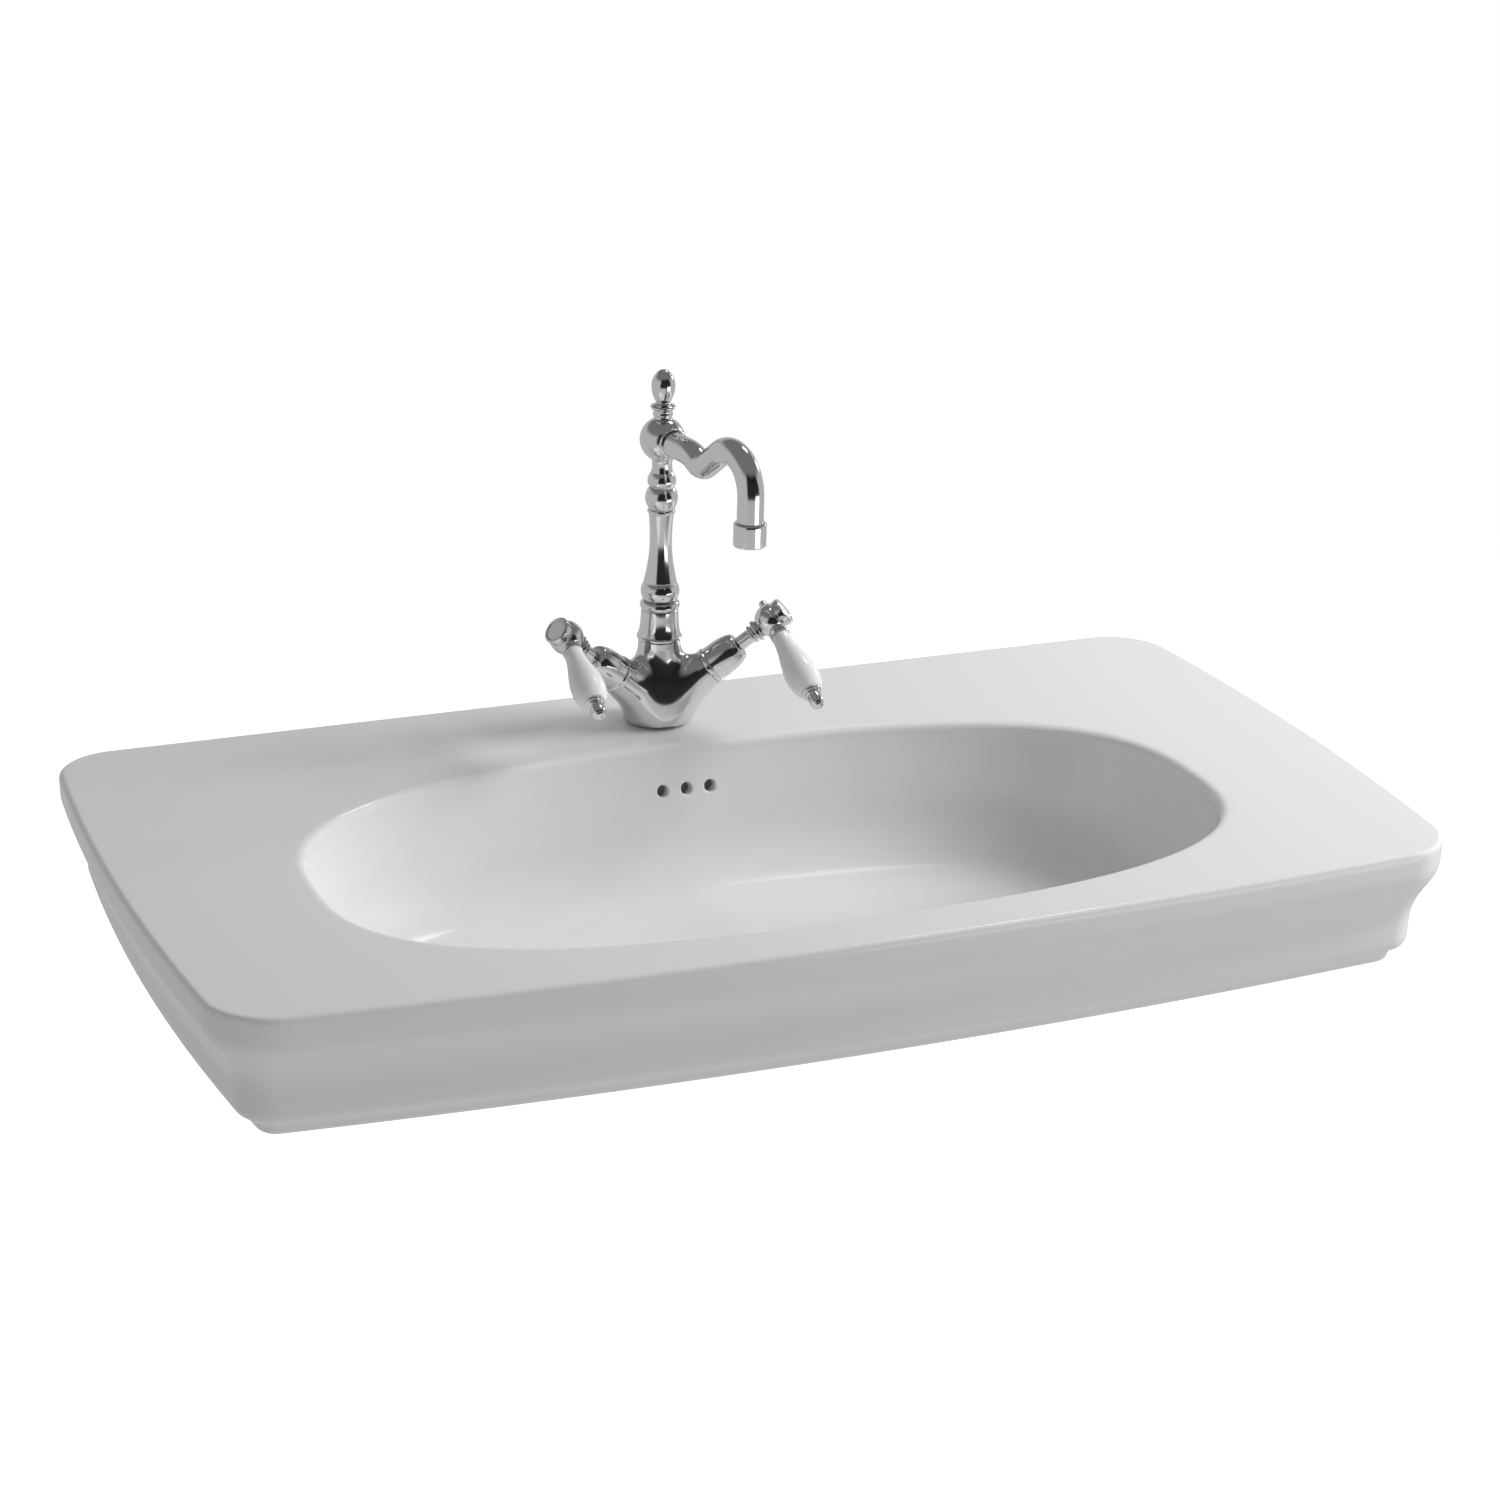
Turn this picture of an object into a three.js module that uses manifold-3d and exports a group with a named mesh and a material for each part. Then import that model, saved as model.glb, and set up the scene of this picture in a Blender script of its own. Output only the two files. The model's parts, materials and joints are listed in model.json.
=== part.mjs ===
// Wall-hung washbasin with a one-hole mixer tap on its back deck.
// Millimetres. +Z up, +X to the right and -Y out from the wall, towards the user.
// The origin is on the basin's wall face, midway between its two wall bolts.
import * as THREE from 'three';
import { mergeVertices } from 'three/addons/utils/BufferGeometryUtils.js';
import Module from 'manifold-3d';

const wasm = await Module();
wasm.setup();

// Clearances
const GAP = 0.3;                  // between pieces that touch
const RUN = 0.5;                  // radial, between pieces that turn or slide

// Basin: deck and skirt
const BASIN_WIDTH = 1000;
const BASIN_DEPTH = 550;
const DECK_HEIGHT = 60;           // deck above the wall bolts
const DECK_THICKNESS = 14;
const SKIRT_WALL = 12;
const BACK_WALL = 12;
const SIDE_BOW = 14;              // how far each side bulges past its corners
const FRONT_BOW = 20.5;
const CORNER = 42.5;              // length of side taken up by a rounded corner
const CORNER_PULL = 0.55;         // how strongly a corner's curve is drawn to its point
const SKIRT_HEIGHT = 107;
const FRONT_SHARE = 0.9;          // the front steps in a little less than the sides
const SKIRT_FOOT = 46;            // how far the skirt's foot stands in from the deck's edge
const FOOT_LAND = 10;             // flat underside of the skirt

// Basin: bowl
const SIDE_DECK = 137.5;          // deck beside, in front of and behind the bowl
const FRONT_DECK = 47;
const BACK_DECK = 134;
const BOWL_SQUARENESS = 2.68;     // 2 is an ellipse
const BOWL_WIDEST = 0.526;        // share of the bowl's depth from front to back
const BOWL_DEPTH = 125;
const BOWL_WALL = 11;
const RIM_RADIUS = 9;
const BOWL_DRAFT = 0.22;          // how far the wall leans in for each mm down
const BOWL_STRAIGHT = 50;         // depth where the wall starts to turn into the floor
const FLOOR_FALL = 13;            // fall of the floor to the waste
const FLOOR_TURN = 74;            // how far the wall turns in before the floor

// Basin: waste, overflow and wall fixing
const WASTE_FROM_RIM = 166;       // waste in front of the bowl's back rim
const WASTE_HOLE_R = 23;
const WASTE_BOSS_R = 46;
const WASTE_BOSS = 35;            // floor to underside at the waste
const FLANGE_SEAT = 4;            // recess for the waste's flange
const OVERFLOW_HOLE_R = 5;
const OVERFLOW_PITCH = 20.5;
const OVERFLOW_DEPTH = 36;        // holes below the deck
const OVERFLOW_PASSAGE = 9;
const OVERFLOW_WIDTH = 58;
const OVERFLOW_WALL = 8;
const BOLT_PITCH = 280;
const BOLT_R = 5;
const BOLT_HOLE_R = 7;

// Tap
const TAP_FROM_WALL = 75.3;
const TAP_HOLE_R = 17.5;
const BASE_R = 20;
const BASE_SEAL = 1.5;
const BELLY_R = 26;
const BELLY_HEIGHT = 6.5;         // the body is widest just above its foot
const BODY_HEIGHT = 71.4;
const BODY_NECK_R = 17.4;
const COLLAR_HEIGHT = 33;
const SHAFT_HEIGHT = 96.5;
const HUB_CENTRE = 39;            // centre of the spout's ball above the swivel
const BALL_R = 18.4;
const FINIAL_HEIGHT = 41;
const TAP_TURN = -3.4;            // degrees that the whole tap is turned on the deck
const ARM_ELEVATION = 39.7;       // degrees
const ARM_RAKE = 17.8;            // degrees forward of the row of the two arms
const ARM_ROOT = 12.4;            // where the arms' axes cross the column's
const ARM_LENGTH = 55.9;
const ARM_R = 16;
const STEM_LENGTH = 50.9;         // end of the arm to the handle's hub
const SHROUD_LENGTH = 29;
const HUB_R = 14;
const HOT_DROOP = 26.2;           // degrees that each closed lever hangs
const COLD_DROOP = 36.1;
const GRIP_START = 20;
const GRIP_LENGTH = 63;
const TIP_LENGTH = 17.3;
const SPOUT_R = 10.5;
const SPOUT_BORE_R = 7.5;
const SPOUT_REACH = 136;
const SPOUT_RISE_ANGLE = 36;      // degrees
const SPOUT_DIP = 5.7;
const SPOUT_DIP_AT = 61.8;
const SPOUT_STRAIGHT = 39;
const SPOUT_DIP_R = 12.4;
const SPOUT_ARCH_R = 29.2;
const SPOUT_DROP = 19.4;
const SPOUT_TURN = 12.6;          // degrees that the spout points to the right at rest
const AERATOR_LENGTH = 19.5;
const AERATOR_R = 13;

// Number of facets round turned pieces
const LARGE = 20;
const MEDIUM = 16;
const SMALL = 12;
const BOWL_FACETS = 48;

// Materials
const material = (color, roughness, metalness) => new THREE.MeshStandardMaterial({ color, roughness, metalness });
const glaze = () => material(0xf1f1ef, 0.08, 0);
const porcelain = () => material(0xf6f5f1, 0.1, 0);
const chrome = () => material(0xd6d9dc, 0.06, 1);
const brass = () => material(0xb59a55, 0.3, 1);
const steel = () => material(0xa9adb0, 0.35, 1);
const rubber = () => material(0x1d1d1f, 0.8, 0);
const plastic = () => material(0xe6e6e2, 0.5, 0);

const radians = THREE.MathUtils.degToRad;
const piece = new THREE.Group();

// ---------------------------------------------------------------- solids

function solid(geometry) {
  geometry.deleteAttribute('normal');
  geometry.deleteAttribute('uv');
  const merged = mergeVertices(geometry, 1e-4);
  const vertProperties = new Float32Array(merged.attributes.position.array);
  const corners = Array.from(merged.index.array);
  const triVerts = [];
  for (let i = 0; i < corners.length; i += 3) {
    const [a, b, c] = corners.slice(i, i + 3);
    if (a !== b && b !== c && c !== a) triVerts.push(a, b, c);
  }
  return new wasm.Manifold(new wasm.Mesh({ numProp: 3, vertProperties, triVerts: new Uint32Array(triVerts) }));
}

function add(parent, name, shape, finish) {
  const { vertProperties, triVerts, numProp } = shape.getMesh();
  const positions = new Float32Array((vertProperties.length / numProp) * 3);
  for (let i = 0; i < positions.length / 3; i += 1) {
    positions.set(vertProperties.subarray(i * numProp, i * numProp + 3), i * 3);
  }
  const geometry = new THREE.BufferGeometry();
  geometry.setAttribute('position', new THREE.BufferAttribute(positions, 3));
  geometry.setIndex(Array.from(triVerts));
  geometry.computeVertexNormals();
  const mesh = new THREE.Mesh(geometry, finish());
  mesh.name = name;
  parent.add(mesh);
}

// A path of (radius, height) points turned about Z; it runs anticlockwise, up the outside.
function turned(path, facets, curveSteps = 4) {
  const geometry = new THREE.LatheGeometry(path.getPoints(curveSteps), facets);
  geometry.rotateX(Math.PI / 2);
  return solid(geometry);
}

const path = (r, z) => new THREE.Path().moveTo(r, z);

function rod(r, bottom, top, facets = SMALL) {
  return turned(path(0, bottom).lineTo(r, bottom).lineTo(r, top).lineTo(0, top), facets);
}

function tube(inner, outer, bottom, top, facets = SMALL) {
  return turned(path(inner, bottom).lineTo(outer, bottom).lineTo(outer, top).lineTo(inner, top)
    .lineTo(inner, bottom), facets);
}

// A hexagonal nut; across is the distance between its flats.
function nut(bore, across, bottom, top, facets = SMALL) {
  const corner = across / 2 / Math.cos(Math.PI / 6);
  return turned(path(0, bottom).lineTo(corner, bottom).lineTo(corner, top).lineTo(0, top), 6)
    .subtract(rod(bore, bottom - 1, top + 1, facets));
}

function place(shape, matrix) {
  return shape.transform(matrix.toArray());
}

const shift = (x, y, z) => new THREE.Matrix4().makeTranslation(x, y, z);

// Turns +Z to the given direction and moves the origin to the given point.
function aim(direction, point) {
  const turn = new THREE.Quaternion().setFromUnitVectors(new THREE.Vector3(0, 0, 1), direction.clone().normalize());
  return new THREE.Matrix4().compose(point, turn, new THREE.Vector3(1, 1, 1));
}

// A straight round passage between two points.
function passage(from, to, r) {
  const run = to.clone().sub(from);
  return place(rod(r, 0, run.length(), 12), aim(run, from));
}

// A skin through level rings of equal count, closed at both ends by a fan.
function loft(rings) {
  const count = rings[0].length;
  const ends = [rings[0], rings.at(-1)].map((ring) => {
    const middle = new THREE.Vector3();
    ring.forEach((point) => middle.addScaledVector(point, 1 / count));
    return middle;
  });
  const points = [...rings.flat(), ...ends];
  const faces = [];
  for (let k = 0; k < rings.length - 1; k += 1) {
    for (let i = 0; i < count; i += 1) {
      const j = (i + 1) % count;
      const [a, b, c, d] = [k * count + i, k * count + j, (k + 1) * count + j, (k + 1) * count + i];
      faces.push(a, b, c, a, c, d);
    }
  }
  const last = (rings.length - 1) * count;
  for (let i = 0; i < count; i += 1) {
    const j = (i + 1) % count;
    faces.push(points.length - 2, j, i, points.length - 1, last + i, last + j);
  }
  const geometry = new THREE.BufferGeometry().setFromPoints(points);
  geometry.setIndex(faces);
  return solid(geometry);
}

// Moves an open line of points sideways by a distance, to its left.
function offset(line, distance) {
  return line.map((point, i) => {
    const before = line[Math.max(i - 1, 0)];
    const after = line[Math.min(i + 1, line.length - 1)];
    const along = after.clone().sub(before).normalize();
    return new THREE.Vector2(point.x - along.y * distance, point.y + along.x * distance);
  });
}

// ---------------------------------------------------------------- basin

// The plan outline, anticlockwise from the back right corner; inset is taken off the sides.
function outline(inset, z, back = 0) {
  const x = BASIN_WIDTH / 2 - SIDE_BOW - inset;
  const front = -(BASIN_DEPTH - FRONT_BOW - inset * FRONT_SHARE);
  const trimFront = Math.max(CORNER - inset * FRONT_SHARE, 8);
  const corners = [[x, -back], [-x, -back], [-x, front], [x, front]].map((p) => new THREE.Vector2(...p));
  const trims = [CORNER, CORNER, trimFront, trimFront];
  const bows = [0, SIDE_BOW, FRONT_BOW, SIDE_BOW];
  const steps = [2, 4, 8, 4];
  const sides = corners.map((from, i) => {
    const to = corners[(i + 1) % 4];
    const run = to.clone().sub(from);
    const outward = new THREE.Vector2(run.y, -run.x).normalize();
    const first = trims[i] / run.length();
    const last = 1 - trims[(i + 1) % 4] / run.length();
    return Array.from({ length: steps[i] + 1 }, (_, k) => {
      const t = THREE.MathUtils.lerp(first, last, k / steps[i]);
      return from.clone().addScaledVector(run, t).addScaledVector(outward, 4 * bows[i] * t * (1 - t));
    });
  });
  const points = sides.flatMap((side, i) => {
    const next = sides[(i + 1) % 4][0];
    const corner = corners[(i + 1) % 4];
    const from = side.at(-1);
    const leave = from.clone().lerp(corner, CORNER_PULL);
    const arrive = next.clone().lerp(corner, CORNER_PULL);
    const bend = new THREE.CubicBezierCurve(from, leave, arrive, next);
    return [...side, ...bend.getPoints(4).slice(1, -1)];
  });
  return points.map((p) => new THREE.Vector3(p.x, p.y, z));
}

// The skirt's section as (inset, height) points from the deck down: a rounded lip, a straight
// band, an ogee, a bead, a step, a second bead and the flat underside.
function skirtSection() {
  return new THREE.Path().moveTo(2, 0).quadraticCurveTo(0, -1, 0, -5)
    .lineTo(0.5, -18)
    .bezierCurveTo(1, -34, 17, -42, 19.5, -66)
    .lineTo(20, -83)
    .quadraticCurveTo(21, -90, 26.5, -91)
    .quadraticCurveTo(33, -95, 33.5, -101)
    .quadraticCurveTo(36, -SKIRT_HEIGHT + 1, SKIRT_FOOT, -SKIRT_HEIGHT)
    .getPoints(3);
}

// The inside of the skirt's shell: it follows the outside at the wall's thickness.
function cavity() {
  const land = SKIRT_FOOT + FOOT_LAND;
  const inside = [
    [SKIRT_WALL, -DECK_THICKNESS],
    [12 + SKIRT_WALL, -45],
    [20 + SKIRT_WALL, -80],
    [30 + SKIRT_WALL, -95],
    [land, -SKIRT_HEIGHT],
    [land, -SKIRT_HEIGHT - 5],
  ];
  return loft(inside.map(([inset, z]) => outline(inset, z, BACK_WALL)).reverse());
}

// One level ring of the bowl. The wall steps in evenly; the floor shrinks towards the waste.
function bowlRing(inset, z, scale = 1) {
  const reach = BASIN_DEPTH - BACK_DECK - FRONT_DECK;
  const centre = -(BACK_DECK + reach * BOWL_WIDEST);
  const waste = -(BACK_DECK + WASTE_FROM_RIM);
  const halfWidth = (BASIN_WIDTH / 2 - SIDE_DECK - inset) * scale;
  const back = (reach * BOWL_WIDEST - inset) * scale;
  const front = (reach * (1 - BOWL_WIDEST) - inset) * scale;
  const middle = THREE.MathUtils.lerp(waste, centre, scale);
  const soften = (value) => Math.sign(value) * Math.abs(value) ** (2 / BOWL_SQUARENESS);
  return Array.from({ length: BOWL_FACETS }, (_, i) => {
    const angle = (i / BOWL_FACETS) * 2 * Math.PI;
    const y = soften(Math.sin(angle));
    return new THREE.Vector3(halfWidth * soften(Math.cos(angle)), middle + (y > 0 ? back : front) * y, z);
  });
}

// The bowl's section as (inset, height) points from the deck to the edge of the floor.
function bowlSection() {
  const edge = -0.67 * RIM_RADIUS;
  const foot = edge + RIM_RADIUS + BOWL_DRAFT * (BOWL_STRAIGHT - RIM_RADIUS);
  const floor = -(BOWL_DEPTH - FLOOR_FALL);
  const section = new THREE.Path().moveTo(edge, 0);
  section.quadraticCurveTo(edge + RIM_RADIUS, 0, edge + RIM_RADIUS, -RIM_RADIUS);
  section.lineTo(foot, -BOWL_STRAIGHT);
  section.bezierCurveTo(foot + 6, floor + 25, foot + 26, floor + 3, foot + FLOOR_TURN, floor);
  return section.getPoints(5);
}

const FLOOR_SCALE = 0.5;          // where the floor ends its first, steeper fall
const floorRings = (inset, drop) => [
  bowlRing(inset, -(BOWL_DEPTH - FLOOR_FALL / 3) - drop, FLOOR_SCALE),
  bowlRing(inset, -BOWL_DEPTH - drop, 0.1),
];

function bowlInside() {
  const section = bowlSection();
  const rings = section.map((p) => bowlRing(p.x, p.y));
  const above = bowlRing(section[0].x, 5);
  return loft([above, ...rings, ...floorRings(section.at(-1).x, 0)].reverse());
}

function bowlOutside() {
  const wall = offset(bowlSection(), -BOWL_WALL).filter((p) => p.y < -RIM_RADIUS);
  const rings = wall.map((p) => bowlRing(p.x, p.y));
  const above = bowlRing(wall[0].x, -2);
  return loft([above, ...rings, ...floorRings(wall.at(-1).x, BOWL_WALL)].reverse());
}

// The bowl's back at its middle, as (y, z) points from under the deck to the waste.
function backLine() {
  const inside = bowlSection().filter((p) => p.y <= -RIM_RADIUS);
  const last = inside.at(-1);
  const wall = inside.map((p) => new THREE.Vector2(-(BACK_DECK + p.x), p.y));
  const floor = floorRings(last.x, 0).map((ring) => ring[BOWL_FACETS / 4]).map((p) => new THREE.Vector2(p.y, p.z));
  const line = [...wall, floor[0], new THREE.Vector2(-(BACK_DECK + WASTE_FROM_RIM), -BOWL_DEPTH)];
  const top = -(OVERFLOW_DEPTH - 2 * OVERFLOW_HOLE_R);
  const slope = BOWL_DRAFT;
  const kept = line.filter((p) => p.y < top);
  const start = new THREE.Vector2(wall[0].x - slope * (wall[0].y - top), top);
  return [start, ...kept];
}

// A band behind and under the bowl between two distances from its inner surface.
function ductBand(near, far, width) {
  const line = backLine();
  const inner = offset(line, near);
  const outer = offset(line, far);
  const shape = new THREE.Shape([...inner, ...outer.reverse()]);
  const geometry = new THREE.ExtrudeGeometry(shape, { depth: width, bevelEnabled: false });
  geometry.translate(0, 0, -width / 2);
  // The section is drawn in (y, z), so its X and Y become the model's Y and Z.
  geometry.applyMatrix4(new THREE.Matrix4().makeBasis(
    new THREE.Vector3(0, 1, 0),
    new THREE.Vector3(0, 0, 1),
    new THREE.Vector3(1, 0, 0),
  ));
  return solid(geometry);
}

function overflowHoles() {
  const y = -(BACK_DECK + bowlSection().find((p) => p.y <= -BOWL_STRAIGHT).x);
  const back = new THREE.Vector3(0, 1, 0);
  return [-1, 0, 1].map((k) => {
    const start = new THREE.Vector3(k * OVERFLOW_PITCH, y - 8, -OVERFLOW_DEPTH);
    return place(rod(OVERFLOW_HOLE_R, 0, BOWL_WALL + OVERFLOW_PASSAGE / 2 + 8 + 4, 20), aim(back, start));
  });
}

const wasteY = -(BACK_DECK + WASTE_FROM_RIM);
const bossBottom = -(BOWL_DEPTH + WASTE_BOSS);

function basin() {
  const outside = loft(skirtSection().map((p) => outline(p.x, p.y)).reverse());
  let body = outside.subtract(cavity()).add(bowlOutside());
  body = body.add(place(rod(WASTE_BOSS_R, bossBottom, -BOWL_DEPTH - 2, LARGE), shift(0, wasteY, 0)));
  const ductDepth = BOWL_WALL + OVERFLOW_PASSAGE + OVERFLOW_WALL;
  body = body.add(ductBand(BOWL_WALL / 2, ductDepth, OVERFLOW_WIDTH + 2 * OVERFLOW_WALL));
  const lid = new THREE.BoxGeometry(OVERFLOW_WIDTH + 2 * OVERFLOW_WALL, ductDepth - BOWL_WALL / 2, OVERFLOW_DEPTH);
  lid.translate(0, -BACK_DECK + BOWL_WALL / 2 - 6 + ductDepth / 2 - 3, -OVERFLOW_DEPTH / 2 - 2);
  body = body.add(solid(lid));
  body = body.subtract(bowlInside());
  body = body.subtract(ductBand(BOWL_WALL, BOWL_WALL + OVERFLOW_PASSAGE, OVERFLOW_WIDTH));
  overflowHoles().forEach((hole) => {
    body = body.subtract(hole);
  });
  const seat = rod(WASTE_SEAL_R + 1.5, -BOWL_DEPTH - FLANGE_SEAT, -BOWL_DEPTH + FLOOR_FALL, LARGE);
  const bore = rod(WASTE_HOLE_R, bossBottom - 5, -BOWL_DEPTH, LARGE);
  body = body.subtract(place(seat.add(bore), shift(0, wasteY, 0)));
  body = body.subtract(place(rod(TAP_HOLE_R, -DECK_THICKNESS - 5, 5, LARGE), shift(0, -TAP_FROM_WALL, 0)));
  [-1, 1].forEach((side) => {
    const start = new THREE.Vector3(side * BOLT_PITCH / 2, 5, -DECK_HEIGHT);
    const hole = place(rod(BOLT_HOLE_R, 0, BACK_WALL + 10), aim(new THREE.Vector3(0, -1, 0), start));
    body = body.subtract(hole);
  });
  return body;
}

// ---------------------------------------------------------------- wall fixing

const WASHER_R = 15;
const WASHER_THICKNESS = 3;
const NUT_ACROSS = 17;
const NUT_HEIGHT = 8;
const BOLT_IN_WALL = 60;
const BOLT_INSIDE = 22;           // bolt end beyond the basin's back wall

function wallFixing(parent, side, label) {
  const fixing = new THREE.Group();
  fixing.position.set(side * BOLT_PITCH / 2, 0, -DECK_HEIGHT);
  fixing.rotation.x = Math.PI / 2;
  parent.add(fixing);
  const washerTop = BACK_WALL + GAP + WASHER_THICKNESS;
  const boltEnd = BACK_WALL + BOLT_INSIDE;
  const bolt = path(0, -BOLT_IN_WALL).lineTo(BOLT_R, -BOLT_IN_WALL + 12)
    .lineTo(BOLT_R, boltEnd - 2)
    .lineTo(BOLT_R - 1.5, boltEnd)
    .lineTo(0, boltEnd);
  add(fixing, `wall_bolt_${label}`, turned(bolt, SMALL), steel);
  add(fixing, `wall_washer_${label}`, tube(BOLT_R + GAP, WASHER_R, BACK_WALL + GAP, washerTop), steel);
  add(fixing, `wall_nut_${label}`, nut(BOLT_R + GAP, NUT_ACROSS, washerTop + GAP, washerTop + NUT_HEIGHT), steel);
}

// ---------------------------------------------------------------- waste

const WASTE_FLANGE_R = 32.5;
const WASTE_FLANGE = 2.7;
const WASTE_SEAL_R = 32;
const WASTE_TAIL_R = 20.9;
const WASTE_BORE_R = 18.2;
const WASTE_TAIL_PAST_NUT = 20;
const WASTE_NUT_ACROSS = 56;
const WASTE_NUT_HEIGHT = 10;
const WASTE_GASKET = 4;
const PLUG_R = 17.6;
const PLUG_TRAVEL = 8;
const SPINDLE_R = 3;
const BRIDGE = 4;                 // thickness and depth of the bar that guides the plug's stem

function wasteHeights() {
  const flangeBottom = -BOWL_DEPTH - FLANGE_SEAT + GAP + 1.4 + GAP;
  const gasketTop = bossBottom - GAP;
  const nutTop = gasketTop - WASTE_GASKET - GAP;
  const nutBottom = nutTop - WASTE_NUT_HEIGHT;
  const bridgeTop = bossBottom + 8;
  return { flangeBottom, gasketTop, nutTop, nutBottom, bridgeTop, tailEnd: nutBottom - WASTE_TAIL_PAST_NUT };
}

function wasteBody({ flangeBottom, bridgeTop, tailEnd }) {
  const top = flangeBottom + WASTE_FLANGE;
  const profile = path(WASTE_BORE_R, tailEnd).lineTo(WASTE_TAIL_R, tailEnd)
    .lineTo(WASTE_TAIL_R, flangeBottom)
    .lineTo(WASTE_FLANGE_R, flangeBottom + 0.8)
    .quadraticCurveTo(WASTE_FLANGE_R - 1, top, WASTE_FLANGE_R - 4, top)
    .lineTo(WASTE_BORE_R + 2, top)
    .lineTo(WASTE_BORE_R, top - 2)
    .lineTo(WASTE_BORE_R, tailEnd);
  let body = turned(profile, LARGE, 3);
  const bar = new THREE.BoxGeometry(2 * WASTE_BORE_R + 1, 2.4 * SPINDLE_R + 5, BRIDGE);
  bar.translate(0, 0, bridgeTop - BRIDGE / 2);
  body = body.add(solid(bar)).subtract(rod(SPINDLE_R + RUN, bridgeTop - 10, bridgeTop + 10));
  const slot = new THREE.BoxGeometry(22, 2 * WASTE_TAIL_R + 10, OVERFLOW_PASSAGE);
  slot.translate(0, 0, -BOWL_DEPTH - BOWL_WALL - OVERFLOW_PASSAGE / 2);
  return body.subtract(solid(slot));
}

function waste(parent) {
  const group = new THREE.Group();
  group.position.y = wasteY;
  parent.add(group);
  const at = wasteHeights();
  const flangeTop = at.flangeBottom + WASTE_FLANGE;
  const plugBottom = flangeTop - 3;
  add(group, 'waste_body', wasteBody(at), chrome);
  add(group, 'waste_flange_seal', tube(WASTE_HOLE_R + 0.5, WASTE_SEAL_R - 1.5, -BOWL_DEPTH - FLANGE_SEAT + GAP,
    at.flangeBottom - GAP, MEDIUM), rubber);
  add(group, 'waste_gasket', tube(WASTE_TAIL_R + GAP, 32, at.gasketTop - WASTE_GASKET, at.gasketTop, LARGE), rubber);
  add(group, 'waste_backnut', nut(WASTE_TAIL_R + GAP, WASTE_NUT_ACROSS, at.nutBottom, at.nutTop, LARGE), brass);
  const plug = path(0, plugBottom).lineTo(PLUG_R - 1.5, plugBottom).lineTo(PLUG_R, plugBottom + 1)
    .lineTo(PLUG_R, plugBottom + 4)
    .quadraticCurveTo(PLUG_R * 0.6, plugBottom + 7, 0, plugBottom + 7);
  add(group, 'waste_plug', turned(plug, LARGE), chrome);
  add(group, 'plug_seal', tube(SPINDLE_R + 4, PLUG_R - 1, plugBottom - GAP - 2, plugBottom - GAP, MEDIUM), rubber);
  const stopTop = at.bridgeTop - BRIDGE - PLUG_TRAVEL - 1;
  const stem = path(0, stopTop - 3).lineTo(SPINDLE_R + 2.2, stopTop - 3).lineTo(SPINDLE_R + 2.2, stopTop)
    .lineTo(SPINDLE_R, stopTop)
    .lineTo(SPINDLE_R, plugBottom - GAP)
    .lineTo(0, plugBottom - GAP);
  add(group, 'plug_stem', turned(stem, SMALL), brass);
}

// ---------------------------------------------------------------- tap body and fixing

const armDirection = (side) => new THREE.Vector3(
  side * Math.cos(radians(ARM_ELEVATION)) * Math.cos(radians(ARM_RAKE)),
  -Math.cos(radians(ARM_ELEVATION)) * Math.sin(radians(ARM_RAKE)),
  Math.sin(radians(ARM_ELEVATION)),
);
function armPoint(side, distance) {
  return armDirection(side).multiplyScalar(distance).add(new THREE.Vector3(0, 0, ARM_ROOT));
}

const ARM_FLARE = 6;              // how much wider each arm is at its root
const SOCKET_R = 10;              // the cartridge's bore in each arm
const SOCKET_DEPTH = 25;
const INLET_X = 7.5;
const INLET_R = 5.5;
const INLET_BORE_R = 3.5;
const INLET_LENGTH = 78;          // below the deck
const STUD_Y = 10;
const STUD_R = 3;
const WATERWAY_R = 3;
const SPIGOT_R = 11.5;            // the body's top boss inside the column's collar
const SPIGOT_HEIGHT = 14;
const MIX_BORE_R = 4.5;

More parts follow.
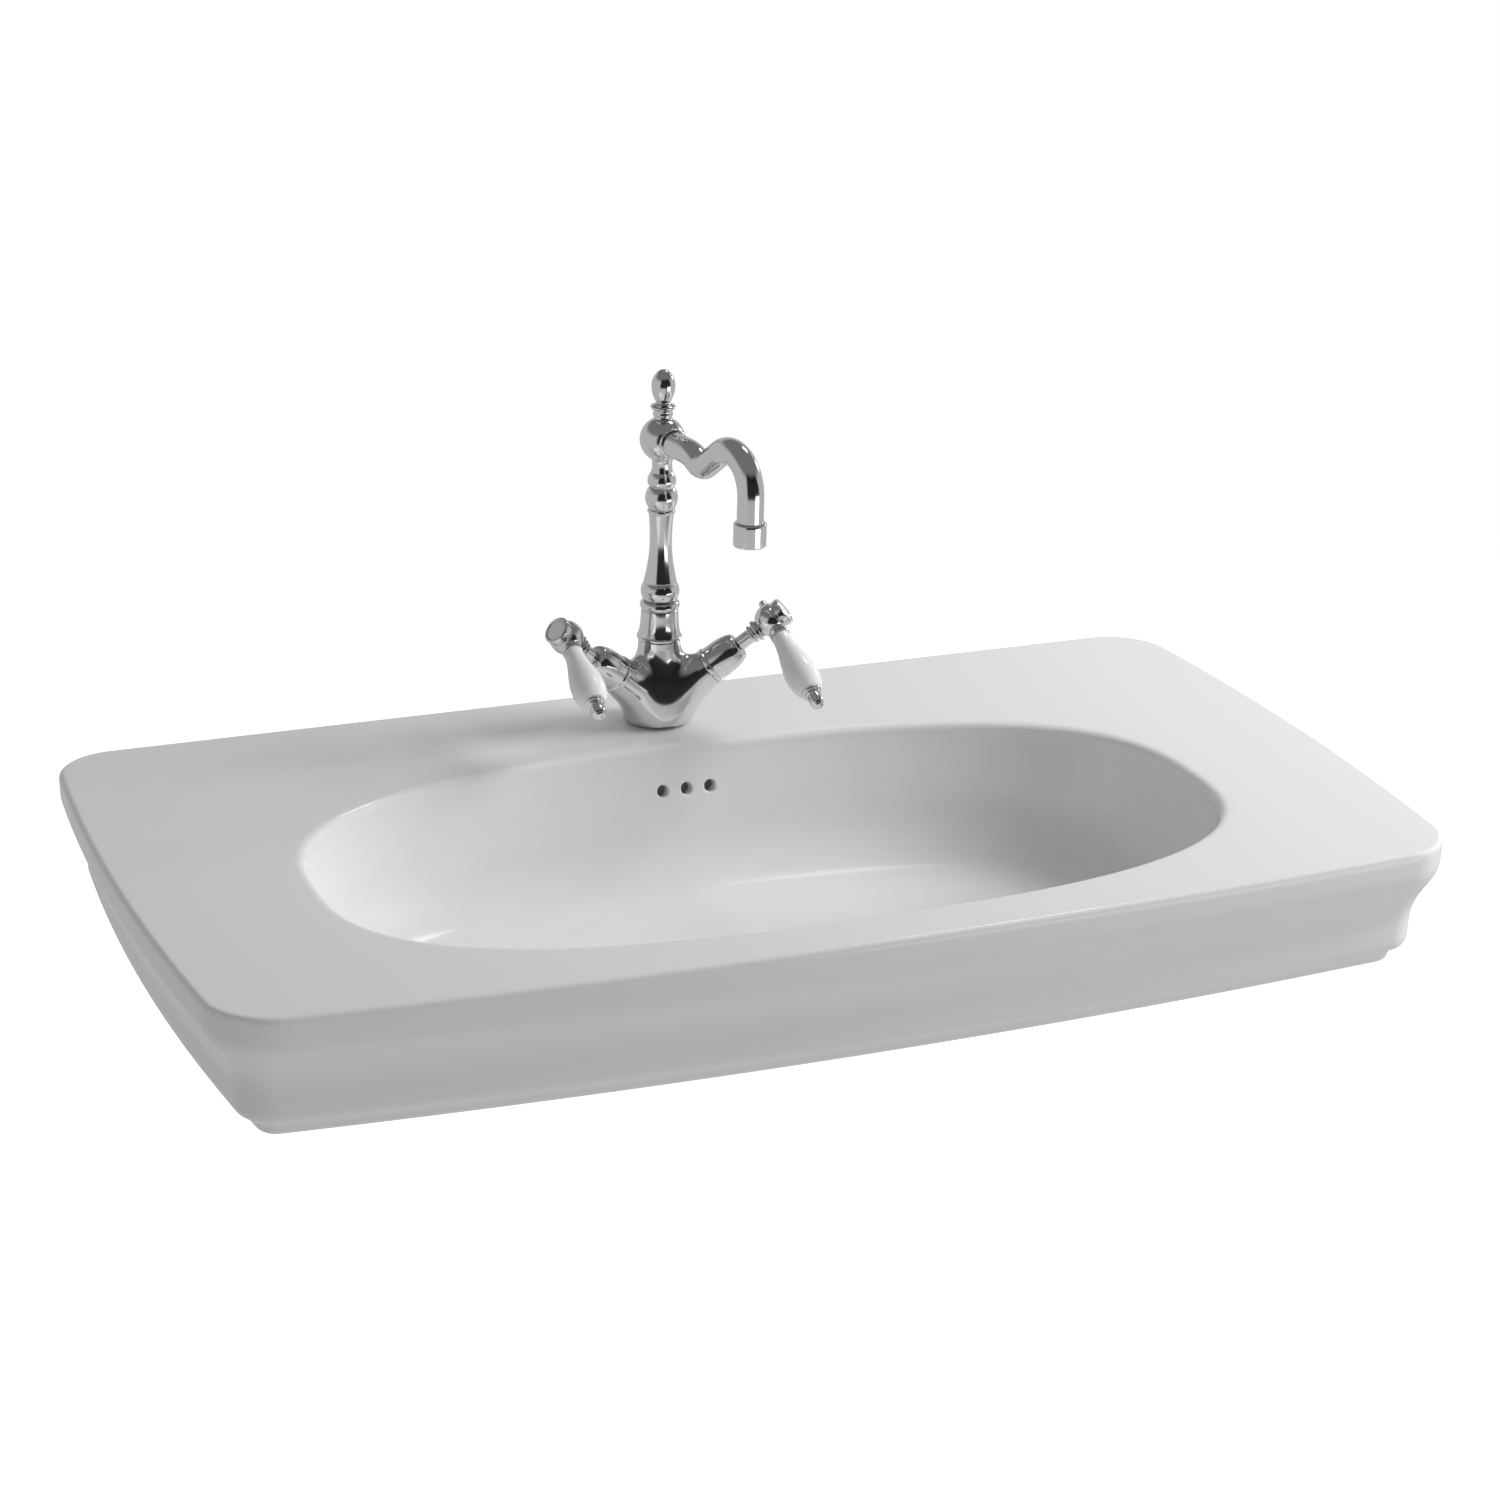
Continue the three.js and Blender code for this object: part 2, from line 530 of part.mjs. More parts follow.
function tapBody() {
  const core = path(0, BASE_SEAL).lineTo(BASE_R, BASE_SEAL)
    .quadraticCurveTo(BELLY_R, BASE_SEAL, BELLY_R, BELLY_HEIGHT)
    .quadraticCurveTo(BODY_NECK_R + 3, 0.45 * BODY_HEIGHT, BODY_NECK_R, 0.92 * BODY_HEIGHT)
    .lineTo(BODY_NECK_R, BODY_HEIGHT)
    .lineTo(SPIGOT_R, BODY_HEIGHT)
    .lineTo(SPIGOT_R, BODY_HEIGHT + SPIGOT_HEIGHT)
    .lineTo(0, BODY_HEIGHT + SPIGOT_HEIGHT);
  let body = turned(core, LARGE, 4);
  const socketEnd = ARM_LENGTH - SOCKET_DEPTH;
  const bores = [rod(MIX_BORE_R, 0.62 * BODY_HEIGHT, BODY_HEIGHT + SPIGOT_HEIGHT + 5)];
  [-1, 1].forEach((side) => {
    const frame = aim(armDirection(side), armPoint(side, 0));
    const cone = path(0, 0).lineTo(ARM_R + ARM_FLARE, 0)
      .lineTo(ARM_R - 0.5, ARM_LENGTH - 2)
      .lineTo(0, ARM_LENGTH - 2);
    body = body.add(place(turned(cone, LARGE), frame));
    bores.push(place(rod(SOCKET_R, socketEnd, ARM_LENGTH + 5, 20), frame));
    const inlet = new THREE.Vector3(side * INLET_X, 0, BASE_SEAL + 8);
    bores.push(place(rod(INLET_R + GAP, -20, BASE_SEAL + 9), shift(side * INLET_X, 0, 0)));
    bores.push(passage(inlet, armPoint(side, socketEnd + 1), WATERWAY_R));
    bores.push(passage(armPoint(side, socketEnd + 7), new THREE.Vector3(0, 0, 0.7 * BODY_HEIGHT), WATERWAY_R));
  });
  [-1, 1].forEach((side) => {
    bores.push(place(rod(STUD_R + GAP, -20, BASE_SEAL + 9, 12), shift(0, side * STUD_Y, 0)));
  });
  const below = new THREE.BoxGeometry(200, 200, 40);
  below.translate(0, 0, BASE_SEAL - 20);
  bores.push(solid(below));
  bores.forEach((bore) => {
    body = body.subtract(bore);
  });
  return body;
}

// The C-shaped clamp under the deck: round, with a slot for the inlets and a hole for each stud.
function horseshoe(bottom, thickness) {
  const r = TAP_HOLE_R + 8;
  const slot = INLET_R + 0.8;
  const edge = Math.asin(slot / r);
  const shape = new THREE.Shape();
  shape.absarc(0, 0, r, edge, 2 * Math.PI - edge, false);
  shape.lineTo(-INLET_X - INLET_R - 1, -slot);
  shape.lineTo(-INLET_X - INLET_R - 1, slot);
  const geometry = new THREE.ExtrudeGeometry(shape, { depth: thickness, bevelEnabled: false, curveSegments: 24 });
  geometry.translate(0, 0, bottom);
  const holes = [-1, 1].map((side) => place(rod(STUD_R + GAP, bottom - 5, bottom + thickness + 5, 12),
    shift(0, side * STUD_Y, 0)));
  return solid(geometry).subtract(holes[0]).subtract(holes[1]);
}

function tapFixing(tap) {
  const gasket = 3;
  const plate = 3;
  const gasketTop = -DECK_THICKNESS - GAP;
  const plateTop = gasketTop - gasket - GAP;
  const nutTop = plateTop - plate - GAP;
  add(tap, 'tap_base_seal', tube(TAP_HOLE_R + 0.3, BASE_R - 0.5, 0.2, BASE_SEAL - 0.2, MEDIUM), rubber);
  add(tap, 'clamp_gasket', horseshoe(gasketTop - gasket, gasket), rubber);
  add(tap, 'clamp_plate', horseshoe(plateTop - plate, plate), steel);
  [['front', -1], ['back', 1]].forEach(([label, side]) => {
    const at = new THREE.Group();
    at.position.y = side * STUD_Y;
    tap.add(at);
    add(at, `clamp_stud_${label}`, rod(STUD_R, nutTop - 22, BASE_SEAL + 8.5, 12), steel);
    add(at, `clamp_nut_${label}`, nut(STUD_R + GAP, 10, nutTop - 9, nutTop), brass);
  });
  [['hot', -1], ['cold', 1]].forEach(([label, side]) => {
    const at = new THREE.Group();
    at.position.x = side * INLET_X;
    tap.add(at);
    add(at, `inlet_${label}`, tube(INLET_BORE_R, INLET_R, -INLET_LENGTH, BASE_SEAL + 8.5, 20), brass);
  });
}

// ---------------------------------------------------------------- handles

function armFrame(side, droopDegrees) {
  const along = armDirection(side);
  const level = new THREE.Vector3(along.y, -along.x, 0).multiplyScalar(side).normalize();
  const up = new THREE.Vector3().crossVectors(level, along).multiplyScalar(side);
  const droop = radians(droopDegrees);
  const lever = level.multiplyScalar(Math.cos(droop)).addScaledVector(up, -Math.sin(droop)).normalize();
  const across = new THREE.Vector3().crossVectors(along, lever);
  return new THREE.Matrix4().makeBasis(lever, across, along).setPosition(armPoint(side, ARM_LENGTH));
}

function shroud() {
  const shell = path(12, GAP - 2).lineTo(ARM_R + 0.3, GAP - 2).lineTo(ARM_R + 0.3, 1.6)
    .lineTo(ARM_R - 0.7, 2.4)
    .quadraticCurveTo(ARM_R - 0.6, 0.7 * SHROUD_LENGTH, ARM_R - 4, 0.92 * SHROUD_LENGTH)
    .lineTo(ARM_R - 6.5, SHROUD_LENGTH)
    .lineTo(SPINDLE_HOLE_R, SHROUD_LENGTH)
    .lineTo(SPINDLE_HOLE_R, SHROUD_LENGTH - 3)
    .lineTo(12, 0.62 * SHROUD_LENGTH)
    .lineTo(12, GAP - 2);
  return turned(shell, MEDIUM, 4);
}

const VALVE_SPINDLE_R = 3.8;
const SPINDLE_HOLE_R = VALVE_SPINDLE_R + RUN + 0.6;

function cartridge() {
  const bodyTop = 0.62 * SHROUD_LENGTH - GAP;
  const bore = VALVE_SPINDLE_R + RUN;
  const section = path(bore, -SOCKET_DEPTH + 2).lineTo(SOCKET_R - 0.4, -SOCKET_DEPTH + 2)
    .lineTo(SOCKET_R - 0.4, -2)
    .lineTo(11.5, -1.5)
    .lineTo(11.5, 4)
    .lineTo(9, 4)
    .lineTo(9, bodyTop - 2)
    .lineTo(bore + 2, bodyTop)
    .lineTo(bore, bodyTop)
    .lineTo(bore, -SOCKET_DEPTH + 2);
  return turned(section, 20);
}

function handleNeck() {
  const start = SHROUD_LENGTH + RUN;
  const stem = 6.1;
  const bore = VALVE_SPINDLE_R + GAP;
  const section = path(bore, start).lineTo(stem, start)
    .lineTo(stem, STEM_LENGTH - 9)
    .quadraticCurveTo(8.2, STEM_LENGTH - 7.5, stem + 0.4, STEM_LENGTH - 5)
    .quadraticCurveTo(11, STEM_LENGTH - 3, stem + 1.2, STEM_LENGTH)
    .lineTo(bore, STEM_LENGTH)
    .lineTo(bore, start);
  return turned(section, MEDIUM, 3);
}

const HUB_SINK = 12.1;            // centre of the hub beyond its flat seat on the neck
const CAP_R = 11.7;
const CAP_FACE = 13.8;            // the hub's outer face beyond its centre
const DISC_R = 8.6;
const LEVER_SPIGOT_R = 5.2;
const BUTTON_R = 3.2;
const BUTTON_LENGTH = 6.8;
const LEVER_ROD_R = 2;

function hub() {
  const section = path(0, -HUB_SINK + GAP).lineTo(Math.sqrt(HUB_R ** 2 - (HUB_SINK - GAP) ** 2), -HUB_SINK + GAP);
  const first = -Math.asin((HUB_SINK - GAP) / HUB_R);
  section.absarc(0, 0, HUB_R, first, 0.44, false);
  section.lineTo(CAP_R, 8).lineTo(CAP_R, CAP_FACE - 1).lineTo(CAP_R - 0.8, CAP_FACE);
  section.lineTo(DISC_R + GAP, CAP_FACE).lineTo(DISC_R + GAP, CAP_FACE - 1.4).lineTo(0, CAP_FACE - 1.4);
  const across = new THREE.Vector3(1, 0, 0);
  let body = turned(section, MEDIUM, 4);
  body = body.subtract(rod(VALVE_SPINDLE_R + GAP, -HUB_R - 5, -4.5));
  body = body.subtract(passage(across.clone().multiplyScalar(6.5), across.clone().multiplyScalar(HUB_R + 5),
    LEVER_SPIGOT_R + GAP));
  return body.subtract(passage(across.clone().multiplyScalar(-9), across.clone().multiplyScalar(-HUB_R - 5),
    BUTTON_R + GAP));
}

function leverCollar() {
  const bore = LEVER_ROD_R + GAP;
  const section = path(bore, 7).lineTo(LEVER_SPIGOT_R, 7).lineTo(LEVER_SPIGOT_R, HUB_R - 0.8)
    .lineTo(8.2, HUB_R + 0.8)
    .lineTo(8.2, HUB_R + 2.4)
    .lineTo(7, HUB_R + 3.2)
    .lineTo(7, GRIP_START - 2.6)
    .lineTo(8.3, GRIP_START - 1.8)
    .lineTo(8.3, GRIP_START - GAP)
    .lineTo(bore, GRIP_START - GAP)
    .lineTo(bore, 7);
  return turned(section, MEDIUM);
}

function leverGrip() {
  const end = GRIP_START + GRIP_LENGTH;
  const bore = LEVER_ROD_R + GAP;
  const section = path(bore, GRIP_START).lineTo(7.6, GRIP_START)
    .bezierCurveTo(8, GRIP_START + 0.28 * GRIP_LENGTH, 13.6, GRIP_START + 0.45 * GRIP_LENGTH,
      13.9, GRIP_START + 0.7 * GRIP_LENGTH)
    .quadraticCurveTo(13.8, end - 6, 8.4, end)
    .lineTo(bore, end)
    .lineTo(bore, GRIP_START);
  return turned(section, MEDIUM, 5);
}

function leverTip() {
  const start = GRIP_START + GRIP_LENGTH + GAP;
  const end = start + TIP_LENGTH - GAP;
  const bore = LEVER_ROD_R + GAP;
  const section = path(bore, start).lineTo(8.2, start).lineTo(8.2, start + 1.6)
    .lineTo(7, start + 2.2)
    .lineTo(7, start + 4)
    .lineTo(6, start + 5)
    .quadraticCurveTo(6.2, end - 3, 4.4, end - 2.5)
    .quadraticCurveTo(4, end, 0, end)
    .lineTo(0, start + 8)
    .lineTo(bore, start + 8)
    .lineTo(bore, start);
  return turned(section, 20, 3);
}

function handle(tap, side, label, droop) {
  const arm = new THREE.Group();
  arm.applyMatrix4(armFrame(side, droop));
  tap.add(arm);
  add(arm, `${label}_shroud`, shroud(), chrome);
  add(arm, `${label}_cartridge`, cartridge(), brass);
  add(arm, `${label}_spindle`, rod(VALVE_SPINDLE_R, -SOCKET_DEPTH + 6, STEM_LENGTH + HUB_SINK - 5.2), brass);
  add(arm, `${label}_handle_neck`, handleNeck(), chrome);
  const head = new THREE.Group();
  head.position.z = STEM_LENGTH + HUB_SINK;
  arm.add(head);
  add(head, `${label}_hub`, hub(), chrome);
  add(head, `${label}_index_disc`, rod(DISC_R, CAP_FACE - 1.1, CAP_FACE - 0.2, 20), porcelain);
  const lever = new THREE.Group();
  lever.rotation.y = Math.PI / 2;
  head.add(lever);
  const button = path(0, -HUB_R - BUTTON_LENGTH).lineTo(BUTTON_R - 0.7, -HUB_R - BUTTON_LENGTH)
    .lineTo(BUTTON_R, -HUB_R - BUTTON_LENGTH + 1)
    .lineTo(BUTTON_R, -9.4)
    .lineTo(0, -9.4);
  add(lever, `${label}_hub_screw`, turned(button, 12), chrome);
  add(lever, `${label}_lever_collar`, leverCollar(), chrome);
  add(lever, `${label}_lever_grip`, leverGrip(), porcelain);
  add(lever, `${label}_lever_tip`, leverTip(), chrome);
  const rodEnd = GRIP_START + GRIP_LENGTH + 7.5;
  add(lever, `${label}_lever_rod`, rod(LEVER_ROD_R, 7.5, rodEnd, 12), steel);
}

// ---------------------------------------------------------------- column and spout

const SHAFT_TAIL_R = 7.6;         // the shaft's lower spigot inside the collar
const SWIVEL_R = 5.6;             // the shaft's upper spigot inside the spout's hub
const SWIVEL_BORE_R = 3.4;
const SEAL_R = 0.7;
const SEAL_GROOVE = 1.1;
const collarBottom = BODY_HEIGHT + GAP;
const shaftBottom = BODY_HEIGHT + COLLAR_HEIGHT + GAP;
const swivel = BODY_HEIGHT + COLLAR_HEIGHT + SHAFT_HEIGHT;
const ballCentre = swivel + HUB_CENTRE;

function columnCollar() {
  const base = BODY_HEIGHT;
  const section = path(SPIGOT_R + GAP, collarBottom).lineTo(BODY_NECK_R - 0.4, collarBottom)
    .lineTo(BODY_NECK_R + 1.3, base + 2.6)
    .quadraticCurveTo(BODY_NECK_R - 1.6, base + 6, BODY_NECK_R - 2, base + 20)
    .lineTo(BODY_NECK_R - 2.2, base + COLLAR_HEIGHT - 8)
    .lineTo(BODY_NECK_R - 3, base + COLLAR_HEIGHT - 7)
    .quadraticCurveTo(BODY_NECK_R - 0.4, base + COLLAR_HEIGHT - 4, BODY_NECK_R - 3.2, base + COLLAR_HEIGHT)
    .lineTo(SHAFT_TAIL_R + GAP, base + COLLAR_HEIGHT)
    .lineTo(SHAFT_TAIL_R + GAP, base + SPIGOT_HEIGHT + GAP)
    .lineTo(SPIGOT_R + GAP, base + SPIGOT_HEIGHT + GAP)
    .lineTo(SPIGOT_R + GAP, collarBottom);
  return turned(section, LARGE, 3);
}

function sealGrooves() {
  return [0.25, 0.6].map((share) => swivel + share * HUB_CENTRE);
}

function columnShaft() {
  const waist = shaftBottom + 0.49 * SHAFT_HEIGHT;
  const neck = swivel - 22;
  const tail = BODY_HEIGHT + SPIGOT_HEIGHT + 2;
  const section = path(MIX_BORE_R, tail).lineTo(SHAFT_TAIL_R, tail).lineTo(SHAFT_TAIL_R, shaftBottom)
    .lineTo(14, shaftBottom)
    .quadraticCurveTo(17.6, shaftBottom + 8, 13.2, shaftBottom + 15.4)
    .lineTo(13.4, shaftBottom + 16.4)
    .quadraticCurveTo(9.4, waist - 14, 9, waist)
    .quadraticCurveTo(9, neck - 8, 10.4, neck)
    .lineTo(11.2, neck + 1.6)
    .lineTo(10.3, neck + 3.4)
    .quadraticCurveTo(15.6, neck + 15, 10.3, swivel - 1)
    .lineTo(SWIVEL_R, swivel - 1)
    .lineTo(SWIVEL_R, sealGrooves()[0]);
  sealGrooves().forEach((z) => {
    section.lineTo(SWIVEL_R, z).lineTo(SWIVEL_R - SEAL_GROOVE, z).lineTo(SWIVEL_R - SEAL_GROOVE, z + 2.6)
      .lineTo(SWIVEL_R, z + 2.6);
  });
  section.lineTo(SWIVEL_R, ballCentre - 7).lineTo(SWIVEL_BORE_R, ballCentre - 7)
    .lineTo(SWIVEL_BORE_R, swivel - 6)
    .lineTo(MIX_BORE_R, swivel - 10)
    .lineTo(MIX_BORE_R, tail);
  return turned(section, LARGE, 3);
}

function sealRing(z) {
  const geometry = new THREE.TorusGeometry(SWIVEL_R - SEAL_GROOVE + GAP + SEAL_R, SEAL_R, 5, LARGE);
  geometry.translate(0, 0, z + 1.3);
  return solid(geometry);
}

function spoutHub() {
  const bore = SWIVEL_R + RUN + 0.3;
  const crown = Math.sqrt(BALL_R ** 2 - FINIAL_SEAT_R ** 2);
  const section = path(bore, swivel + 1.2).lineTo(10.6, swivel + 1.2).lineTo(11.2, swivel + 2.4)
    .quadraticCurveTo(13, swivel + 6.5, 8.9, swivel + 12)
    .quadraticCurveTo(7.9, swivel + 17.5, 8.6, ballCentre - Math.sqrt(BALL_R ** 2 - 8.6 ** 2) - 0.6);
  section.absarc(0, ballCentre, BALL_R, -Math.acos(9.4 / BALL_R), Math.acos(FINIAL_SEAT_R / BALL_R), false);
  section.lineTo(3.6, ballCentre + crown).lineTo(3.6, ballCentre + 8).lineTo(bore, ballCentre + 8)
    .lineTo(bore, swivel + 1.2);
  const inward = new THREE.Vector3(0, 0, ballCentre);
  const outward = new THREE.Vector3(0, -BALL_R - 5, ballCentre);
  const mouth = new THREE.Vector3(0, -TUBE_SEAT, ballCentre);
  return turned(section, LARGE, 5)
    .subtract(passage(inward, outward, 4.5))
    .subtract(place(rod(SPOUT_R + GAP, 0, 20, MEDIUM), aim(new THREE.Vector3(0, -1, 0), mouth)));
}

const FINIAL_SEAT_R = 8;
const TUBE_SINK = 3.11;           // how deep the tube sits in the ball
const TUBE_SEAT = Math.sqrt(BALL_R ** 2 - SPOUT_R ** 2) - TUBE_SINK;

function finial() {
  const seat = ballCentre + Math.sqrt(BALL_R ** 2 - FINIAL_SEAT_R ** 2) + GAP;
  const top = ballCentre + Math.sqrt(BALL_R ** 2 - FINIAL_SEAT_R ** 2) + FINIAL_HEIGHT;
  const section = path(0, seat - 7).lineTo(3.2, seat - 7).lineTo(3.2, seat)
    .lineTo(FINIAL_SEAT_R + 0.2, seat)
    .lineTo(7.4, seat + 3)
    .lineTo(8.2, seat + 4.6)
    .quadraticCurveTo(7, seat + 7, 9.6, seat + 9)
    .quadraticCurveTo(11.4, seat + 11, 6.4, seat + 12.4)
    .lineTo(5.7, seat + 14)
    .bezierCurveTo(10, seat + 21, 11.4, seat + 31, 6.4, top - 4)
    .quadraticCurveTo(4, top, 0, top);
  return turned(section, MEDIUM, 3);
}

// The tube's centre line in the plane of the spout: out from the ball, a dip, a rise at an
// angle, an arch and a straight drop. It is made of lines and arcs that meet without a kink.
function spoutLine() {
  const run = SPOUT_DIP_AT - SPOUT_STRAIGHT;
  const dipTurn = 2 * Math.atan(SPOUT_DIP / run);
  const firstR = run / Math.sin(dipTurn) - SPOUT_DIP_R;
  const rise = radians(SPOUT_RISE_ANGLE);
  const afterDip = SPOUT_DIP_AT + SPOUT_DIP_R * Math.sin(rise);
  const archStart = SPOUT_REACH - SPOUT_ARCH_R * (1 + Math.sin(rise));
  const steps = [
    { length: SPOUT_STRAIGHT - TUBE_SEAT - GAP },
    { turn: -dipTurn, r: firstR },
    { turn: dipTurn + rise, r: SPOUT_DIP_R },
    { length: (archStart - afterDip) / Math.cos(rise) },
    { turn: -rise - Math.PI / 2, r: SPOUT_ARCH_R },
    { length: SPOUT_DROP },
  ];
  const points = [new THREE.Vector2(TUBE_SEAT + GAP, 0)];
  let heading = 0;
  steps.forEach(({ length = 0, turn = 0, r = 0 }) => {
    const count = turn ? Math.ceil(Math.abs(turn) / radians(18)) : Math.ceil(length / 30);
    for (let i = 0; i < count; i += 1) {
      const chord = turn ? 2 * r * Math.sin(Math.abs(turn) / count / 2) : length / count;
      const direction = heading + turn / count / 2;
      heading += turn / count;
      const step = new THREE.Vector2(Math.cos(direction), Math.sin(direction)).multiplyScalar(chord);
      points.push(points.at(-1).clone().add(step));
    }
  });
  return points.map((p) => new THREE.Vector3(0, -p.x, ballCentre + p.y));
}

// A polyline that getPoint runs along corner by corner, so each step of a sweep is a given point.
class Polyline extends THREE.Curve {
  constructor(points) {
    super();
    this.points = points;
  }

  getPoint(t, target = new THREE.Vector3()) {
    const along = Math.min(t * (this.points.length - 1), this.points.length - 1 - 1e-9);
    const i = Math.floor(along);
    return target.lerpVectors(this.points[i], this.points[i + 1], along - i);
  }

  getPointAt(t, target) {
    return this.getPoint(t, target);
  }

  getTangent(t, target = new THREE.Vector3()) {
    const i = Math.round(t * (this.points.length - 1));
    const before = this.points[Math.max(i - 1, 0)];
    const after = this.points[Math.min(i + 1, this.points.length - 1)];
    return target.subVectors(after, before).normalize();
  }

  getTangentAt(t, target) {
    return this.getTangent(t, target);
  }
}

function sweep(points, r, facets) {
  const shape = new THREE.Shape().absarc(0, 0, r, 0, 2 * Math.PI, false);
  return solid(new THREE.ExtrudeGeometry(shape, {
    steps: points.length - 1,
    curveSegments: facets / 2,
    bevelEnabled: false,
    extrudePath: new Polyline(points),
  }));
}

function spoutTube() {
  const line = spoutLine();
  const inner = [...line];
  inner[0] = line[0].clone().add(new THREE.Vector3(0, 1, 0));
  inner[inner.length - 1] = line.at(-1).clone().add(new THREE.Vector3(0, 0, -1));
  return sweep(line, SPOUT_R, MEDIUM).subtract(sweep(inner, SPOUT_BORE_R, SMALL));
}

function spout(tap) {
  const group = new THREE.Group();
  group.rotation.z = radians(SPOUT_TURN);
  tap.add(group);
  add(group, 'swivel_washer', tube(SWIVEL_R + GAP, 9.8, swivel - 1 + GAP, swivel + 1.2 - GAP, MEDIUM), plastic);
  add(group, 'spout_hub', spoutHub(), chrome);
  add(group, 'finial', finial(), chrome);
  add(group, 'spout_tube', spoutTube(), chrome);
  const ringStart = Math.sqrt(BALL_R ** 2 - (SPOUT_R + 1) ** 2) + 1.6;
  const ring = tube(SPOUT_R + GAP, SPOUT_R + 2, ringStart, ringStart + 3, MEDIUM);
  const outward = aim(new THREE.Vector3(0, -1, 0), new THREE.Vector3(0, 0, ballCentre));
  add(group, 'spout_ring', place(ring, outward), chrome);
  const end = spoutLine().at(-1);
  const outlet = new THREE.Group();
  outlet.position.copy(end);
  group.add(outlet);
  const mouth = -AERATOR_LENGTH;
  const housing = path(SPOUT_R + 0.6, mouth).lineTo(AERATOR_R - 0.8, mouth).lineTo(AERATOR_R, mouth + 1)
    .lineTo(AERATOR_R, -1.2)
    .lineTo(AERATOR_R - 1, -GAP)
    .lineTo(SPOUT_BORE_R, -GAP)
    .lineTo(SPOUT_BORE_R, -2.5)
    .lineTo(SPOUT_R + 0.6, -3.5)
    .lineTo(SPOUT_R + 0.6, mouth);
  add(outlet, 'aerator_housing', turned(housing, MEDIUM), chrome);
  add(outlet, 'aerator_insert', rod(SPOUT_R + GAP, mouth + 1.2, -8, 20), plastic);
}

function column(tap) {
  add(tap, 'column_collar', columnCollar(), chrome);
  add(tap, 'column_shaft', columnShaft(), chrome);
  sealGrooves().forEach((z, i) => {
    add(tap, `swivel_seal_${['lower', 'upper'][i]}`, sealRing(z), rubber);
  });
}

// ---------------------------------------------------------------- assembly

const deck = new THREE.Group();
deck.position.z = DECK_HEIGHT;
piece.add(deck);
add(deck, 'basin', basin(), glaze);
wallFixing(deck, -1, 'left');
wallFixing(deck, 1, 'right');
waste(deck);

const tap = new THREE.Group();
tap.position.y = -TAP_FROM_WALL;
tap.rotation.z = radians(TAP_TURN);
deck.add(tap);
add(tap, 'tap_body', tapBody(), chrome);
tapFixing(tap);
handle(tap, -1, 'hot', HOT_DROOP);
handle(tap, 1, 'cold', COLD_DROOP);
column(tap);
spout(tap);

piece.name = 'washbasin_with_mixer_tap';
export default piece;
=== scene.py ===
"""Washbasin with a one-hole mixer tap: the finished look of the piece, built round its fixed frame.

Drawn sections are in millimetres, as (radius, height) or (inset, height); make() turns them into metres.
"""

import json
import math

import bmesh
import bpy
import numpy as np
from mathutils import Matrix, Vector


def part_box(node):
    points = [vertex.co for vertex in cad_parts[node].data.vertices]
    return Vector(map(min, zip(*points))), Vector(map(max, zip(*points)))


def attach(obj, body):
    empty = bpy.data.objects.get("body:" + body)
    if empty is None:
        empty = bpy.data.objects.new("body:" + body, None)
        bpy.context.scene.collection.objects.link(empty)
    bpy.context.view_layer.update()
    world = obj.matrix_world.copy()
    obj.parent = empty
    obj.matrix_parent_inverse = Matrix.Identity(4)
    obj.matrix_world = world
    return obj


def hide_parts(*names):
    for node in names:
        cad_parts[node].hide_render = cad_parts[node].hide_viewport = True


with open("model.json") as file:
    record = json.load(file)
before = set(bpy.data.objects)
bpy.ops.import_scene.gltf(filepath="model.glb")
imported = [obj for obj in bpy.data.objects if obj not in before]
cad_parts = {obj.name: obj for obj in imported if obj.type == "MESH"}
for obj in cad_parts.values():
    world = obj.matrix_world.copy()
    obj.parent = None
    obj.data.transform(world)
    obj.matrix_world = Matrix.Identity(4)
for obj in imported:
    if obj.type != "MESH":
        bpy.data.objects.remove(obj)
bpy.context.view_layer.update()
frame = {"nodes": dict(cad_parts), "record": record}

bl_info = {
    "name": "Washbasin with mixer tap",
    "version": (1, 0, 0),
    "blender": (4, 5, 0),
    "location": "View3D > Sidebar > Washbasin",
    "description": "Builds a glazed ceramic washbasin with a chrome mixer tap, piece by piece",
    "category": "Object",
}

MM = 0.001
ROOT = "basin_and_tap"
SIDES = (("hot", -1), ("cold", 1))

# Height of the deck in the frame, in millimetres above the wall bolts
DECK = round(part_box("basin")[1].z / MM, 3)


def millimetres(length):
    """A length property's value in millimetres."""
    return length / MM


# ---------------------------------------------------------------- sizes and colours


def size(name, description, value):
    """A length property whose default is given in millimetres."""
    return bpy.props.FloatProperty(name=name, description=description, default=value * MM, min=0.0,
                                   precision=5, subtype="DISTANCE", unit="LENGTH")


def colour(name, description, value):
    """A colour property."""
    return bpy.props.FloatVectorProperty(name=name, description=description, default=value, size=3, min=0.0,
                                         max=1.0, subtype="COLOR")


def number(name, description, value, low=0.0, high=1.0):
    """A plain number property."""
    return bpy.props.FloatProperty(name=name, description=description, default=value, min=low, max=high)


def degrees(name, description, value):
    """An angle property whose default is given in degrees."""
    return bpy.props.FloatProperty(name=name, description=description, default=math.radians(value),
                                   subtype="ANGLE", unit="ROTATION")


